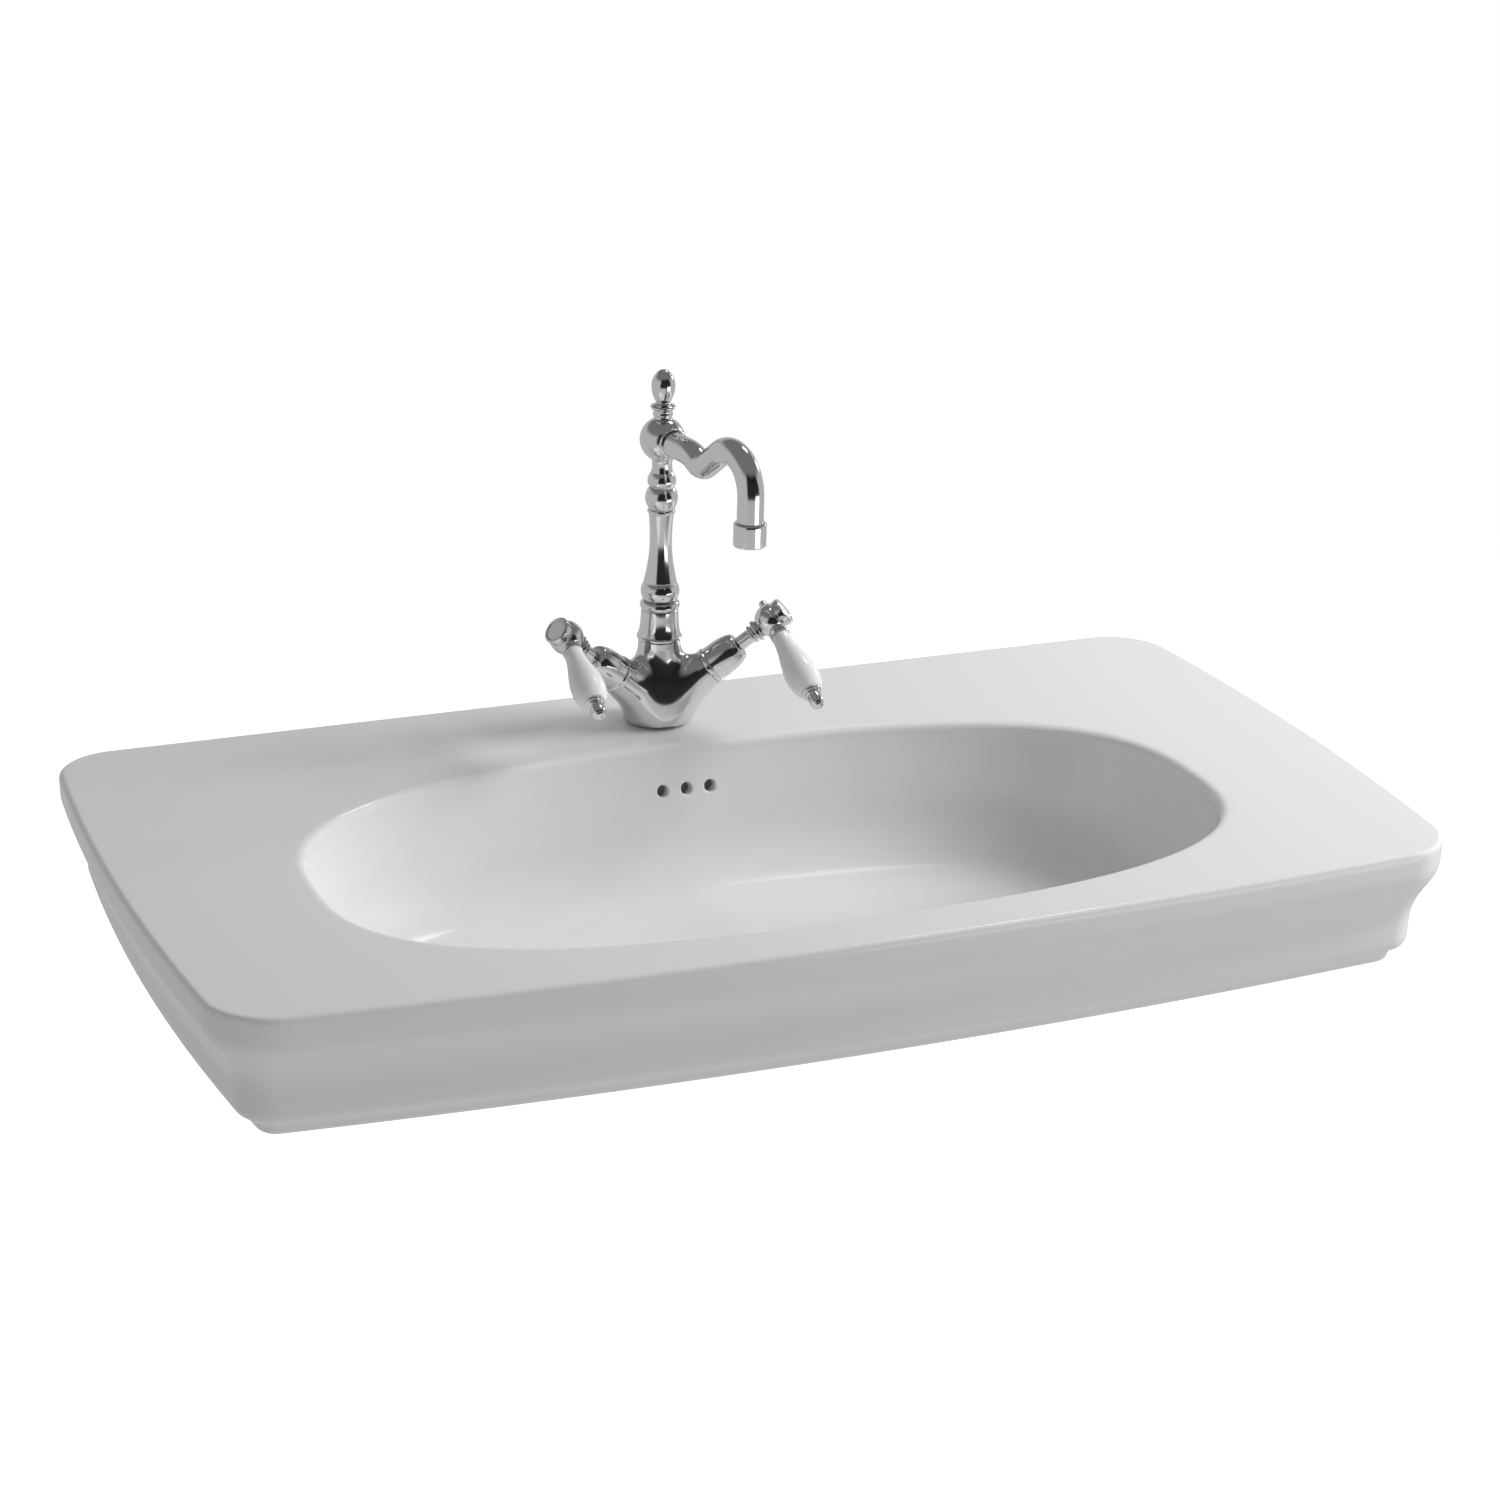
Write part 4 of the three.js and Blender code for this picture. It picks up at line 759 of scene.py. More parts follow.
def basin_skin(sizes, bowl):
    """One closed skin: up the waste bore, over the bowl, deck and skirt, and back under them all."""
    seat_z, boss_z = -bowl.depth - FLANGE_SEAT, -(bowl.depth + WASTE_BOSS)
    section = bowl.section()
    rings = [bowl.level(WASTE_HOLE_R, boss_z), bowl.level(WASTE_HOLE_R, seat_z - 1)]
    rings += [bowl.level(WASTE_HOLE_R + 0.8, seat_z), bowl.level(SEAT_R - 1, seat_z)]
    rings += [bowl.level(SEAT_R, seat_z + 1), bowl.level(SEAT_R, -bowl.depth - 0.8)]
    floor = bowl.floor(section[-1].x, section[-1].y, -bowl.depth, SEAT_R + 0.8)
    rings += floor[::-1]
    rings += [bowl.ring(p.x, p.y) for p in section[::-1]]
    deck_edge = rings[-1]
    skirt = skirt_section(sizes)
    lip = level_outline(sizes, skirt[0].x, 0.0, skirt[0].x)
    rings += [[a.lerp(b, k / 4) for a, b in zip(deck_edge, lip)] for k in range(1, 4)]
    rings += [level_outline(sizes, p.x, p.y, max(p.x, 0) if p.y > -6 else 0.0) for p in skirt]
    inside = cavity_section(sizes)
    for p in inside:
        rounding = p.x - SKIRT_WALL if p.y > -16 else 0
        rings.append(level_outline(sizes, p.x, p.y, BACK_WALL + rounding))
    wall = offset(section, -bowl.wall)
    under = [p for p in wall if p.y < -millimetres(sizes.deck_thickness)]
    first = bowl.ring(under[0].x - 3, -millimetres(sizes.deck_thickness) - 0.4)
    rings.append([a.lerp(b, 0.5) for a, b in zip(rings[-1], first)])
    rings += [first] + [bowl.ring(p.x, p.y) for p in under]
    rings += bowl.floor(under[-1].x, under[-1].y, -bowl.depth - bowl.wall, WASTE_BOSS_R + 3)[:-1]
    rings += [bowl.level(WASTE_BOSS_R + 2, -bowl.depth - bowl.wall - 0.5)]
    rings += [bowl.level(WASTE_BOSS_R, -bowl.depth - bowl.wall - 3), bowl.level(WASTE_BOSS_R, boss_z + 1.5)]
    rings += [bowl.level(WASTE_BOSS_R - 1.5, boss_z)]
    return skin(rings, wrap=True)


def duct(bowl, near, far, width, top=0.0):
    """A band behind and under the bowl between two distances from its inner surface."""
    line = bowl.back_line()
    inner, outer = offset(line, near), offset(line, far)
    if top:
        inner.insert(0, Vector((inner[0].x, top)))
        outer.insert(0, Vector((outer[0].x, top)))
    section = inner + outer[::-1]
    points, faces = [], []
    for x in (-width / 2, width / 2):
        points += [Vector((x, p.x, p.y)) for p in section]
    count = len(section)
    for i in range(count):
        j = (i + 1) % count
        faces.append((i, j, count + j, count + i))
    half = len(inner)
    for start in (0, count):
        for i in range(half - 1):
            faces.append((start + i, start + i + 1, start + count - 2 - i, start + count - 1 - i))
    return points, faces


def overflow_tool(bowl, side):
    """A hole square to the bowl's wall, with a lip that flares softly into the glaze."""
    inset = 0.33 * bowl.rim + BOWL_DRAFT * (OVERFLOW_DEPTH - bowl.rim)
    mouth = (side * OVERFLOW_PITCH, -(bowl.back_deck + inset), -OVERFLOW_DEPTH)
    lip = 1.7
    section = Section(0, -2).to((OVERFLOW_HOLE_R + lip + 2, -2))
    section.arc((OVERFLOW_HOLE_R + lip, lip), lip, math.radians(-110), math.radians(-180), 8)
    length = bowl.wall + OVERFLOW_PASSAGE / 2 + 2
    section.to((OVERFLOW_HOLE_R, length), (0, length))
    leaning = Vector((0, 1, -BOWL_DRAFT))
    return raw_object("overflow_tool", turned(section.points, 48), deck_frame() @ aimed(leaning, mouth))


def build_basin(sizes):
    """The ceramic basin with its duct, overflow holes, tap hole and bolt holes."""
    bowl = Bowl(sizes)
    at_deck = deck_frame()
    basin = raw_object("basin_piece", basin_skin(sizes, bowl), at_deck)
    cover = OVERFLOW_WIDTH + 2 * OVERFLOW_WALL
    outer = bowl.wall + OVERFLOW_PASSAGE + OVERFLOW_WALL
    under_deck = -millimetres(sizes.deck_thickness) + 4
    housing = raw_object("duct_tool", duct(bowl, bowl.wall / 2, outer, cover, under_deck), at_deck)
    combine(basin, [housing], "UNION")
    channel = duct(bowl, bowl.wall, bowl.wall + OVERFLOW_PASSAGE, OVERFLOW_WIDTH)
    tools = [raw_object("channel_tool", channel, at_deck)]
    tools += [overflow_tool(bowl, side) for side in (-1, 0, 1)]
    tap_place = Vector((0, -bpy.context.scene.washbasin_tap.from_wall, 0))
    tap_hole = cylinder(TAP_HOLE_R, -30, 5)
    tools.append(raw_object("tap_tool", tap_hole, at_deck @ Matrix.Translation(tap_place)))
    for side in (-1, 1):
        bolt = aimed((0, -1, 0), (side * BOLT_PITCH / 2, 5, 0))
        tools.append(raw_object("bolt_tool", cylinder(BOLT_HOLE_R, 0, BACK_WALL + 10), bolt))
    combine(basin, tools, "DIFFERENCE")
    dress(basin, "glaze", ["basin"], crease=38.0)


# ---------------------------------------------------------------- wall fixing

BOLT_R = 5
BOLT_IN_WALL = 60
BOLT_INSIDE = 22
GAP = 0.3


def wall_fixing(side, label):
    """A hanger bolt with its washer and nut."""
    place = aimed((0, -1, 0), (side * BOLT_PITCH / 2, 0, 0))
    end = BACK_WALL + BOLT_INSIDE
    section = Section(0, -BOLT_IN_WALL).to((BOLT_R, -BOLT_IN_WALL + 12))
    threaded_run(section, BOLT_R, -BOLT_IN_WALL + 12, end - 1.5, 1.5)
    section.to((BOLT_R - 1.3, end), (0, end))
    rule = thread(-BOLT_IN_WALL + 12, end, 1.5, 0.8, BOLT_R - 0.01)
    make(f"wall_bolt_{label}", turned(section.points, 40, rule), place, "steel", crease=60)
    top = BACK_WALL + GAP + 3
    washer = turned(ring_section(BOLT_R + GAP, 15, BACK_WALL + GAP, top, 0.5))
    make(f"wall_washer_{label}", washer, place, "steel")
    make(f"wall_nut_{label}", nut(BOLT_R + GAP, 17, top + GAP, top + 8), place, "steel", crease=24)


# ---------------------------------------------------------------- waste

WASTE_FLANGE_R = 32.5
WASTE_FLANGE = 2.7
WASTE_TAIL_R = 20.9
WASTE_BORE_R = 18.2
PLUG_R = 17.6
STEM_R = 3
BRIDGE = 4
WINDOW_R = 6.4
WINDOW_FROM_AXIS = 12.2 * 0.87


def build_waste(sizes):
    """The waste, its gasket and back nut, and the plug on its stem."""
    bowl = Bowl(sizes)
    place = deck_frame() @ Matrix.Translation((0, bowl.waste * MM, 0))
    boss = -(bowl.depth + WASTE_BOSS)
    flange_low = -bowl.depth - FLANGE_SEAT + 2
    flange_top = flange_low + WASTE_FLANGE
    gasket_top = boss - GAP
    nut_top = gasket_top - 4 - GAP
    tail = nut_top - 10 - 20
    bridge_top = boss + 8
    section = Section(WASTE_BORE_R, tail).to((WASTE_TAIL_R, tail))
    threaded_run(section, WASTE_TAIL_R, tail, boss, 2.1)
    section.to((WASTE_TAIL_R, flange_low), (WASTE_FLANGE_R, flange_low + 0.8))
    section.bend((WASTE_FLANGE_R - 1, flange_top), (WASTE_FLANGE_R - 4, flange_top))
    section.bend((WASTE_BORE_R + 0.4, flange_top), (WASTE_BORE_R, flange_top - 2.4))
    rule = thread(tail, boss, 2.1, 1.1, WASTE_TAIL_R - 0.01)
    body = raw_object("waste_body_piece", turned(section.points, 96, rule), place)
    bar = cylinder(WASTE_BORE_R + 0.5, bridge_top - BRIDGE, bridge_top, 64)
    spider = raw_object("spider_tool", bar, place)
    windows = []
    for k in range(3):
        turn = Matrix.Rotation(2 * math.pi * k / 3 + math.pi / 6, 4, "Z")
        window = cylinder(WINDOW_R, bridge_top - 10, bridge_top + 10, 48)
        slide = Matrix.Translation(Vector((WINDOW_FROM_AXIS, 0, 0)) * MM)
        windows.append(raw_object("window_tool", window, place @ turn @ slide))
    windows.append(raw_object("stem_tool", cylinder(STEM_R + 0.5, bridge_top - 10, bridge_top + 10), place))
    combine(spider, windows, "DIFFERENCE")
    combine(body, [spider], "UNION")
    slots = []
    for side in (-1, 1):
        port = aimed((0, side, 0), (0, 0, -bowl.depth - bowl.wall - OVERFLOW_PASSAGE / 2))
        slot = raw_object("slot_tool", cylinder(OVERFLOW_PASSAGE / 2, 10, 30, 32), place @ port)
        slots.append(slot)
    combine(body, slots, "DIFFERENCE")
    dress(body, "chrome", ["waste_body"])
    gasket = turned(ring_section(WASTE_TAIL_R + GAP, 32, gasket_top - 4, gasket_top, 0.9))
    make("waste_gasket", gasket, place, "rubber")
    make("waste_backnut", nut(WASTE_TAIL_R + GAP, 56, nut_top - 10, nut_top), place, "brass", crease=24)
    low = flange_top - 3
    plug = Section(0, low).to((PLUG_R - 1.5, low), (PLUG_R, low + 1), (PLUG_R, low + 4))
    plug.bend((PLUG_R - 0.2, low + 5.4), (PLUG_R - 2.2, low + 5.6))
    plug.bend((PLUG_R * 0.55, low + 7), (0, low + 7))
    make("waste_plug", turned(plug.eased(0.4)), place, "chrome", "waste_plug")
    stop = bridge_top - BRIDGE - 9
    stem = Section(0, stop - 3).to((STEM_R + 2.2, stop - 3), (STEM_R + 2.2, stop), (STEM_R, stop))
    stem.to((STEM_R, low - GAP), (0, low - GAP))
    make("plug_stem", turned(stem.eased(0.4), 48), place, "brass", "waste_plug")


# ---------------------------------------------------------------- tap body

BASE_SEAL = 1.5
BASE_R = 20
BELLY_R = 26
BELLY_HEIGHT = 6.5                # the body is widest just above its foot
NECK_R = 17.4
ARM_ROOT = 12.4                   # where the arms' axes cross the column's
ARM_R = 16
ARM_FLARE = 6                     # how much wider each arm is at its root
SOCKET_R = 10
SOCKET_DEPTH = 25
INLET_X = 7.5
INLET_R = 5.5
INLET_BORE_R = 3.5
STUD_Y = 10
STUD_R = 3
SHROUD_LENGTH = 29
STEM_LENGTH = 50.9                # end of the arm to the handle's hub


def tap_frame(tap):
    """The tap's frame: its origin on the deck, turned as the tap is."""
    return deck_frame() @ Matrix.Translation((0, -tap.from_wall, 0)) @ Matrix.Rotation(tap.turn, 4, "Z")


def arm_direction(tap, side):
    """The direction of an arm from the column."""
    out = math.cos(tap.arm_rise)
    across, forward = out * math.cos(tap.arm_rake), out * math.sin(tap.arm_rake)
    return Vector((side * across, -forward, math.sin(tap.arm_rise)))


def arm_point(tap, side, distance):
    """A point on an arm's axis."""
    return arm_direction(tap, side) * distance + Vector((0, 0, ARM_ROOT))


def body_section(height):
    """The body's turned core."""
    core = Section(0, BASE_SEAL).to((BASE_R, BASE_SEAL))
    core.bend((BELLY_R, BASE_SEAL), (BELLY_R, BELLY_HEIGHT), 12)
    core.bend((NECK_R + 3, 0.45 * height), (NECK_R, 0.92 * height), 20)
    return core.to((NECK_R, height), (0, height)).points


def distance_to_section(across, up, line):
    """Distance of each point from a closed section in its half plane; it is negative inside."""
    closest = np.full(len(across), 1e9)
    inside = np.zeros(len(across), bool)
    for a, b in zip(line, line[1:] + line[:1]):
        dx, dy = b.x - a.x, b.y - a.y
        length = dx * dx + dy * dy
        if length < 1e-12:
            continue
        if a.x > 1e-6 or b.x > 1e-6:
            t = np.clip(((across - a.x) * dx + (up - a.y) * dy) / length, 0, 1)
            closest = np.minimum(closest, np.hypot(across - a.x - t * dx, up - a.y - t * dy))
        if abs(dy) > 1e-12:
            crossing = ((a.y > up) != (b.y > up)) & (across < dx * (up - a.y) / dy + a.x)
            inside ^= crossing
    return np.where(inside, -closest, closest)


def soft_union(first, second, blend):
    """The smaller of two distances, rounded where they are nearly equal."""
    share = np.clip(0.5 + 0.5 * (second - first) / blend, 0, 1)
    return second * (1 - share) + first * share - blend * share * (1 - share)


def arm_cone(tap):
    """An arm's outline: its radius against the way along it, wider at the root."""
    end = millimetres(tap.arm_length) - 2
    return [Vector(p) for p in ((0, 0), (ARM_R + ARM_FLARE, 0), (ARM_R - 0.5, end), (0, end))]


def body_distance(tap):
    """A function that gives each point's distance from the body, with the arms blended into its core."""
    core = body_section(millimetres(tap.body_height))
    cone = arm_cone(tap)
    arms = [np.array(arm_direction(tap, side)) for _, side in SIDES]
    blend = millimetres(tap.blend)

    def distance(points):
        found = distance_to_section(np.hypot(points[:, 0], points[:, 1]), points[:, 2], core)
        for axis in arms:
            from_root = points - np.array((0, 0, ARM_ROOT))
            along = from_root @ axis
            across = np.linalg.norm(from_root - np.outer(along, axis), axis=1)
            found = soft_union(found, distance_to_section(across, along, cone), blend)
        return np.maximum(found, BASE_SEAL - points[:, 2])

    return distance


def slope(distance, points, step=0.02):
    """The direction in which the distance grows at each point."""
    parts = []
    for axis in np.eye(3):
        parts.append(distance(points + axis * step) - distance(points - axis * step))
    found = np.stack(parts, axis=1)
    return found / np.maximum(np.linalg.norm(found, axis=1, keepdims=True), 1e-9)


def mesh_points(mesh):
    """A mesh's points in millimetres."""
    flat = np.empty(len(mesh.vertices) * 3)
    mesh.vertices.foreach_get("co", flat)
    return flat.reshape(-1, 3) / MM


def build_tap_body(tap):
    """The cast body: a turned core with two arms, met by a smooth blend."""
    place = tap_frame(tap)
    length = millimetres(tap.arm_length)
    body = raw_object("tap_body_piece", turned(body_section(millimetres(tap.body_height))))
    arms = []
    for _, side in SIDES:
        root = aimed(arm_direction(tap, side), arm_point(tap, side, 0))
        arms.append(raw_object("arm_tool", turned(arm_cone(tap)), root))
    combine(body, arms, "UNION")
    below = raw_object("below_tool", cylinder(90, -60, BASE_SEAL))
    combine(body, [below], "DIFFERENCE")
    even = body.modifiers.new("even", "REMESH")
    even.mode = "VOXEL"
    even.voxel_size = 1.1 * MM
    settle(body)
    distance = body_distance(tap)
    points = mesh_points(body.data)
    for _ in range(8):
        points -= slope(distance, points) * distance(points)[:, None]
    body.data.vertices.foreach_set("co", (points * MM).ravel())
    body.data.update()
    tools = []
    for _, side in SIDES:
        socket = aimed(arm_direction(tap, side), arm_point(tap, side, 0))
        tools.append(raw_object("socket_tool", cylinder(SOCKET_R, length - SOCKET_DEPTH, length + 5), socket))
        for r, x, y in ((INLET_R + GAP, side * INLET_X, 0), (STUD_R + GAP, 0, side * STUD_Y)):
            below_it = Matrix.Translation(Vector((x, y, 0)) * MM)
            tools.append(raw_object("base_tool", cylinder(r, -20, BASE_SEAL + 9), below_it))
    combine(body, tools, "DIFFERENCE")
    points = mesh_points(body.data)
    on_skin = np.abs(distance(points)) < 0.02
    normals = np.where(on_skin[:, None], slope(distance, points), 0)
    body.matrix_world = place
    dress(body, "chrome", ["tap_body"], crease=60)
    body.data.normals_split_custom_set_from_vertices([tuple(n) for n in normals])


def build_tap_fixing(tap):
    """What holds the tap down and feeds it, under the deck."""
    place = tap_frame(tap)
    deck = millimetres(bpy.context.scene.washbasin_basin.deck_thickness)
    nut_top = -deck - 3 * GAP - 6
    seal = Section(TAP_HOLE_R + 0.3, 0.2).to((BASE_R - 0.2, 0.2))
    seal.bend((BASE_R + 0.2, 0.75), (BASE_R - 0.4, 1.3))
    seal.to((TAP_HOLE_R + 0.3, 1.3))
    make("tap_base_seal", turned(seal.points, 128), place, "rubber")
    for label, side in (("front", -1), ("back", 1)):
        at = place @ Matrix.Translation(Vector((0, side * STUD_Y, 0)) * MM)
        low = nut_top - 22
        stud = Section(0, low).to((STUD_R - 0.8, low))
        stud.to((STUD_R, low + 0.8))
        threaded_run(stud, STUD_R, low + 0.8, -deck - 2, 1.0)
        stud.to((STUD_R, BASE_SEAL + 8.5), (0, BASE_SEAL + 8.5))
        rule = thread(low, -deck - 2, 1.0, 0.5, STUD_R - 0.01)
        make(f"clamp_stud_{label}", turned(stud.points, 32, rule), at, "steel", crease=60)
        make(f"clamp_nut_{label}", nut(STUD_R + GAP, 10, nut_top - 9, nut_top), at, "brass", crease=24)
    for label, side in SIDES:
        at = place @ Matrix.Translation(Vector((side * INLET_X, 0, 0)) * MM)
        low, high = -78, BASE_SEAL + 8.5
        tail = Section(INLET_BORE_R, low + 0.6).to((INLET_BORE_R + 0.6, low))
        tail.to((INLET_R - 0.6, low), (INLET_R, low + 0.6))
        threaded_run(tail, INLET_R, low + 0.6, low + 14, 1.0)
        tail.to((INLET_R - 0.6, low + 15), (INLET_R - 0.6, low + 18), (INLET_R, low + 19), (INLET_R, high))
        tail.to((INLET_BORE_R, high))
        rule = thread(low, low + 15, 1.0, 0.5, INLET_R - 0.01)
        make(f"inlet_{label}", turned(tail.points, 48, rule), at, "brass", crease=60)


# ---------------------------------------------------------------- handles

HUB_R = 14
HUB_SINK = 12.1                   # centre of the hub beyond its flat seat on the neck
CAP_R = 11.7
CAP_FACE = 13.8
DISC_R = 8.6
BUTTON_R = 3.2
BUTTON_LENGTH = 6.8
ROD_BORE_R = 2.3                  # bore for the lever's rod
SPINDLE_R = 3.8
GRIP_START = 20
GRIP_LENGTH = 63
TIP_LENGTH = 17.3


def arm_frame(tap, side, droop):
    """A frame at an arm's end: Z along the arm and X along the closed lever."""
    along = arm_direction(tap, side)
    level = (Vector((along.y, -along.x, 0)) * side).normalized()
    rising = level.cross(along) * side
    lever = (level * math.cos(droop) - rising * math.sin(droop)).normalized()
    across = along.cross(lever)
    axes = Matrix((lever, across, along)).transposed().to_4x4()
    return Matrix.Translation(arm_point(tap, side, millimetres(tap.arm_length)) * MM) @ axes


def shroud_section():
    """The cover over a cartridge: a flange ring and a barrel with a rounded shoulder."""
    end = SHROUD_LENGTH
    hole = SPINDLE_R + 1.1
    section = Section(12, GAP - 2).to((ARM_R + 0.3, GAP - 2), (ARM_R + 0.3, 1.4), (ARM_R - 0.9, 2.4))
    section.bend((ARM_R - 0.6, 0.7 * end), (ARM_R - 4, 0.92 * end), 16)
    section.bend((ARM_R - 4.8, end - 0.3), (ARM_R - 6.8, end), 6)
    return section.to((hole, end), (hole, end - 3), (12, 0.62 * end), (12, GAP - 2)).eased(0.5, True)


def neck_section():
    """The handle's stem with two small collars."""
    start, end, stem = SHROUD_LENGTH + 0.5, STEM_LENGTH, 6.1
    bore = SPINDLE_R + GAP
    section = Section(bore, start).to((stem, start), (stem, end - 9.4))
    section.bend((8.4, end - 8.8), (8.1, end - 7.6), 6).bend((7.9, end - 6.4), (stem + 0.3, end - 6), 6)
    section.bend((stem, end - 5.2), (8.4, end - 4.3), 6).bend((10.3, end - 3.6), (9.4, end - 2.2), 7)
    section.bend((8.8, end - 1.2), (stem + 1.2, end), 6)
    return section.to((bore, end), (bore, start)).eased(0.25, True)


def hub_section():
    """The round head with its raised cap rim and the recess for the disc."""
    low = HUB_SINK - GAP
    section = Section(0, -low).to((math.sqrt(HUB_R ** 2 - low ** 2), -low))
    section.arc((0, 0), HUB_R, -math.asin(low / HUB_R), 0.44, 36)
    section.to((CAP_R - 0.6, 7), (CAP_R - 0.6, 8), (CAP_R, 8.6), (CAP_R, CAP_FACE - 1.4))
    section.bend((CAP_R - 0.1, CAP_FACE), (CAP_R - 1.5, CAP_FACE), 8)
    section.to((DISC_R + 0.9, CAP_FACE), (DISC_R + GAP, CAP_FACE - 0.5), (DISC_R + GAP, CAP_FACE - 1.3))
    return section.to((0, CAP_FACE - 1.3)).eased(0.25)


def collar_section():
    """Two rings between the hub and the grip."""
    bore = ROD_BORE_R
    section = Section(bore, 7).to((5.2, 7), (5.2, HUB_R - 1.4))
    section.bend((8.6, HUB_R - 0.4), (8.2, HUB_R + 1.5), 8).bend((8, HUB_R + 2.7), (6.8, HUB_R + 3.2), 6)
    section.to((6.6, GRIP_START - 3.2)).bend((8.4, GRIP_START - 3.1), (8.5, GRIP_START - 1.6), 6)
    return section.to((8.3, GRIP_START - GAP), (bore, GRIP_START - GAP), (bore, 7)).eased(0.3, True)


def grip_section():
    """The porcelain grip: slim at the hub, full towards the tip."""
    end, bore = GRIP_START + GRIP_LENGTH, ROD_BORE_R
    section = Section(bore, GRIP_START).to((7.2, GRIP_START))
    section.bend((7.7, GRIP_START), (7.7, GRIP_START + 0.6), 4)
    section.sway((8, GRIP_START + 0.28 * GRIP_LENGTH), (13.6, GRIP_START + 0.45 * GRIP_LENGTH),
                 (13.9, GRIP_START + 0.7 * GRIP_LENGTH), 30)
    section.bend((13.8, end - 6), (8.9, end - 0.6), 16).bend((8.4, end), (7.6, end), 4)
    return section.to((bore, end), (bore, GRIP_START)).eased(0.2, True)


def tip_section():
    """The chrome tip: a ring, a groove, a tapered barrel and a small button."""
    start = GRIP_START + GRIP_LENGTH + GAP
    end, bore = start + TIP_LENGTH - GAP, ROD_BORE_R
    section = Section(bore, start).to((7.4, start)).bend((8.3, start), (8.2, start + 0.9), 5)
    section.bend((8.1, start + 1.9), (7, start + 2.1), 5).to((7, start + 3.2))
    section.bend((7.1, start + 4.5), (5.9, start + 4.9), 5)
    section.bend((6.5, end - 5), (5.2, end - 2.9), 12).bend((4.6, end - 2.5), (4.4, end - 2.2), 4)
    section.bend((3.9, end), (0, end), 10)
    return section.to((0, start + 8), (bore, start + 8), (bore, start)).points


def build_handle(tap, label, side, droop):
    """One handle: shroud on the arm, then neck, hub and lever, which turn together."""
    body = f"{label}_handle"
    arm = tap_frame(tap) @ arm_frame(tap, side, droop)
    head = arm @ Matrix.Translation((0, 0, (STEM_LENGTH + HUB_SINK) * MM))
    lever = head @ Matrix.Rotation(math.pi / 2, 4, "Y")
    make(f"{label}_shroud", turned(shroud_section(), 112), arm, "chrome")
    make(f"{label}_handle_neck", turned(neck_section()), arm, "chrome", body)
    make(f"{label}_hub", turned(hub_section(), 112), head, "chrome", body)
    face = CAP_FACE - 0.2
    disc = Section(0, face - 0.9).to((DISC_R, face - 0.9), (DISC_R, face - 0.35))
    disc.bend((DISC_R - 0.5, face), (DISC_R - 2, face), 6).to((0, face))
    make(f"{label}_index_disc", turned(disc.eased(0.1)), head, "porcelain", body)
    low, r = -HUB_R - BUTTON_LENGTH, BUTTON_R
    screw = Section(0, low).bend((r - 0.2, low), (r, low + 1.3), 8).to((r, low + 4), (r - 0.5, low + 4.4))
    screw.to((r - 0.5, low + 5), (r, low + 5.4), (r, -9.4), (0, -9.4))
    make(f"{label}_hub_screw", turned(screw.eased(0.15), 64), lever, "chrome", body)
    make(f"{label}_lever_collar", turned(collar_section()), lever, "chrome", body)
    make(f"{label}_lever_grip", turned(grip_section(), 112), lever, "porcelain", body, crease=50)
    make(f"{label}_lever_tip", turned(tip_section()), lever, "chrome", body)


# ---------------------------------------------------------------- column and spout

BALL_R = 18.4
HUB_CENTRE = 39
FINIAL_SEAT_R = 8
FINIAL_HEIGHT = 41
SPOUT_R = 10.5
SPOUT_BORE_R = 7.5
SPOUT_RISE = math.radians(36)
SPOUT_DIP = 5.7
SPOUT_DIP_AT = 61.8
SPOUT_STRAIGHT = 39
SPOUT_DIP_R = 12.4
SPOUT_ARCH_R = 29.2
SPOUT_DROP = 19.4
TUBE_SINK = 3.11                  # how deep the tube sits in the ball
TUBE_SEAT = math.sqrt(BALL_R ** 2 - SPOUT_R ** 2) - TUBE_SINK
AERATOR_LENGTH = 19.5
AERATOR_R = 13


def swivel_height(tap):
    """The height where the spout turns on the column."""
    return millimetres(tap.body_height + tap.collar_height + tap.shaft_height)


def collar_of_column(tap):
    """The collar between the body and the shaft."""
    base, high = millimetres(tap.body_height), millimetres(tap.collar_height)
    bore = 11.8
    section = Section(bore, base + GAP).to((NECK_R - 0.4, base + GAP))
    section.bend((NECK_R + 1.4, base + 0.8), (NECK_R + 1.3, base + 2.6), 7)
    section.bend((NECK_R - 1.6, base + 6), (NECK_R - 2, base + 20), 16)
    section.to((NECK_R - 2.2, base + high - 8), (NECK_R - 3.1, base + high - 7.4))
    section.bend((NECK_R - 0.2, base + high - 5.4), (NECK_R - 1.6, base + high - 2.2), 10)
    section.bend((NECK_R - 2.2, base + high - 0.4), (NECK_R - 3.4, base + high), 6)
    section.to((bore - 3, base + high), (bore - 3, base + 14.3))
    return section.to((bore, base + 14.3), (bore, base + GAP))


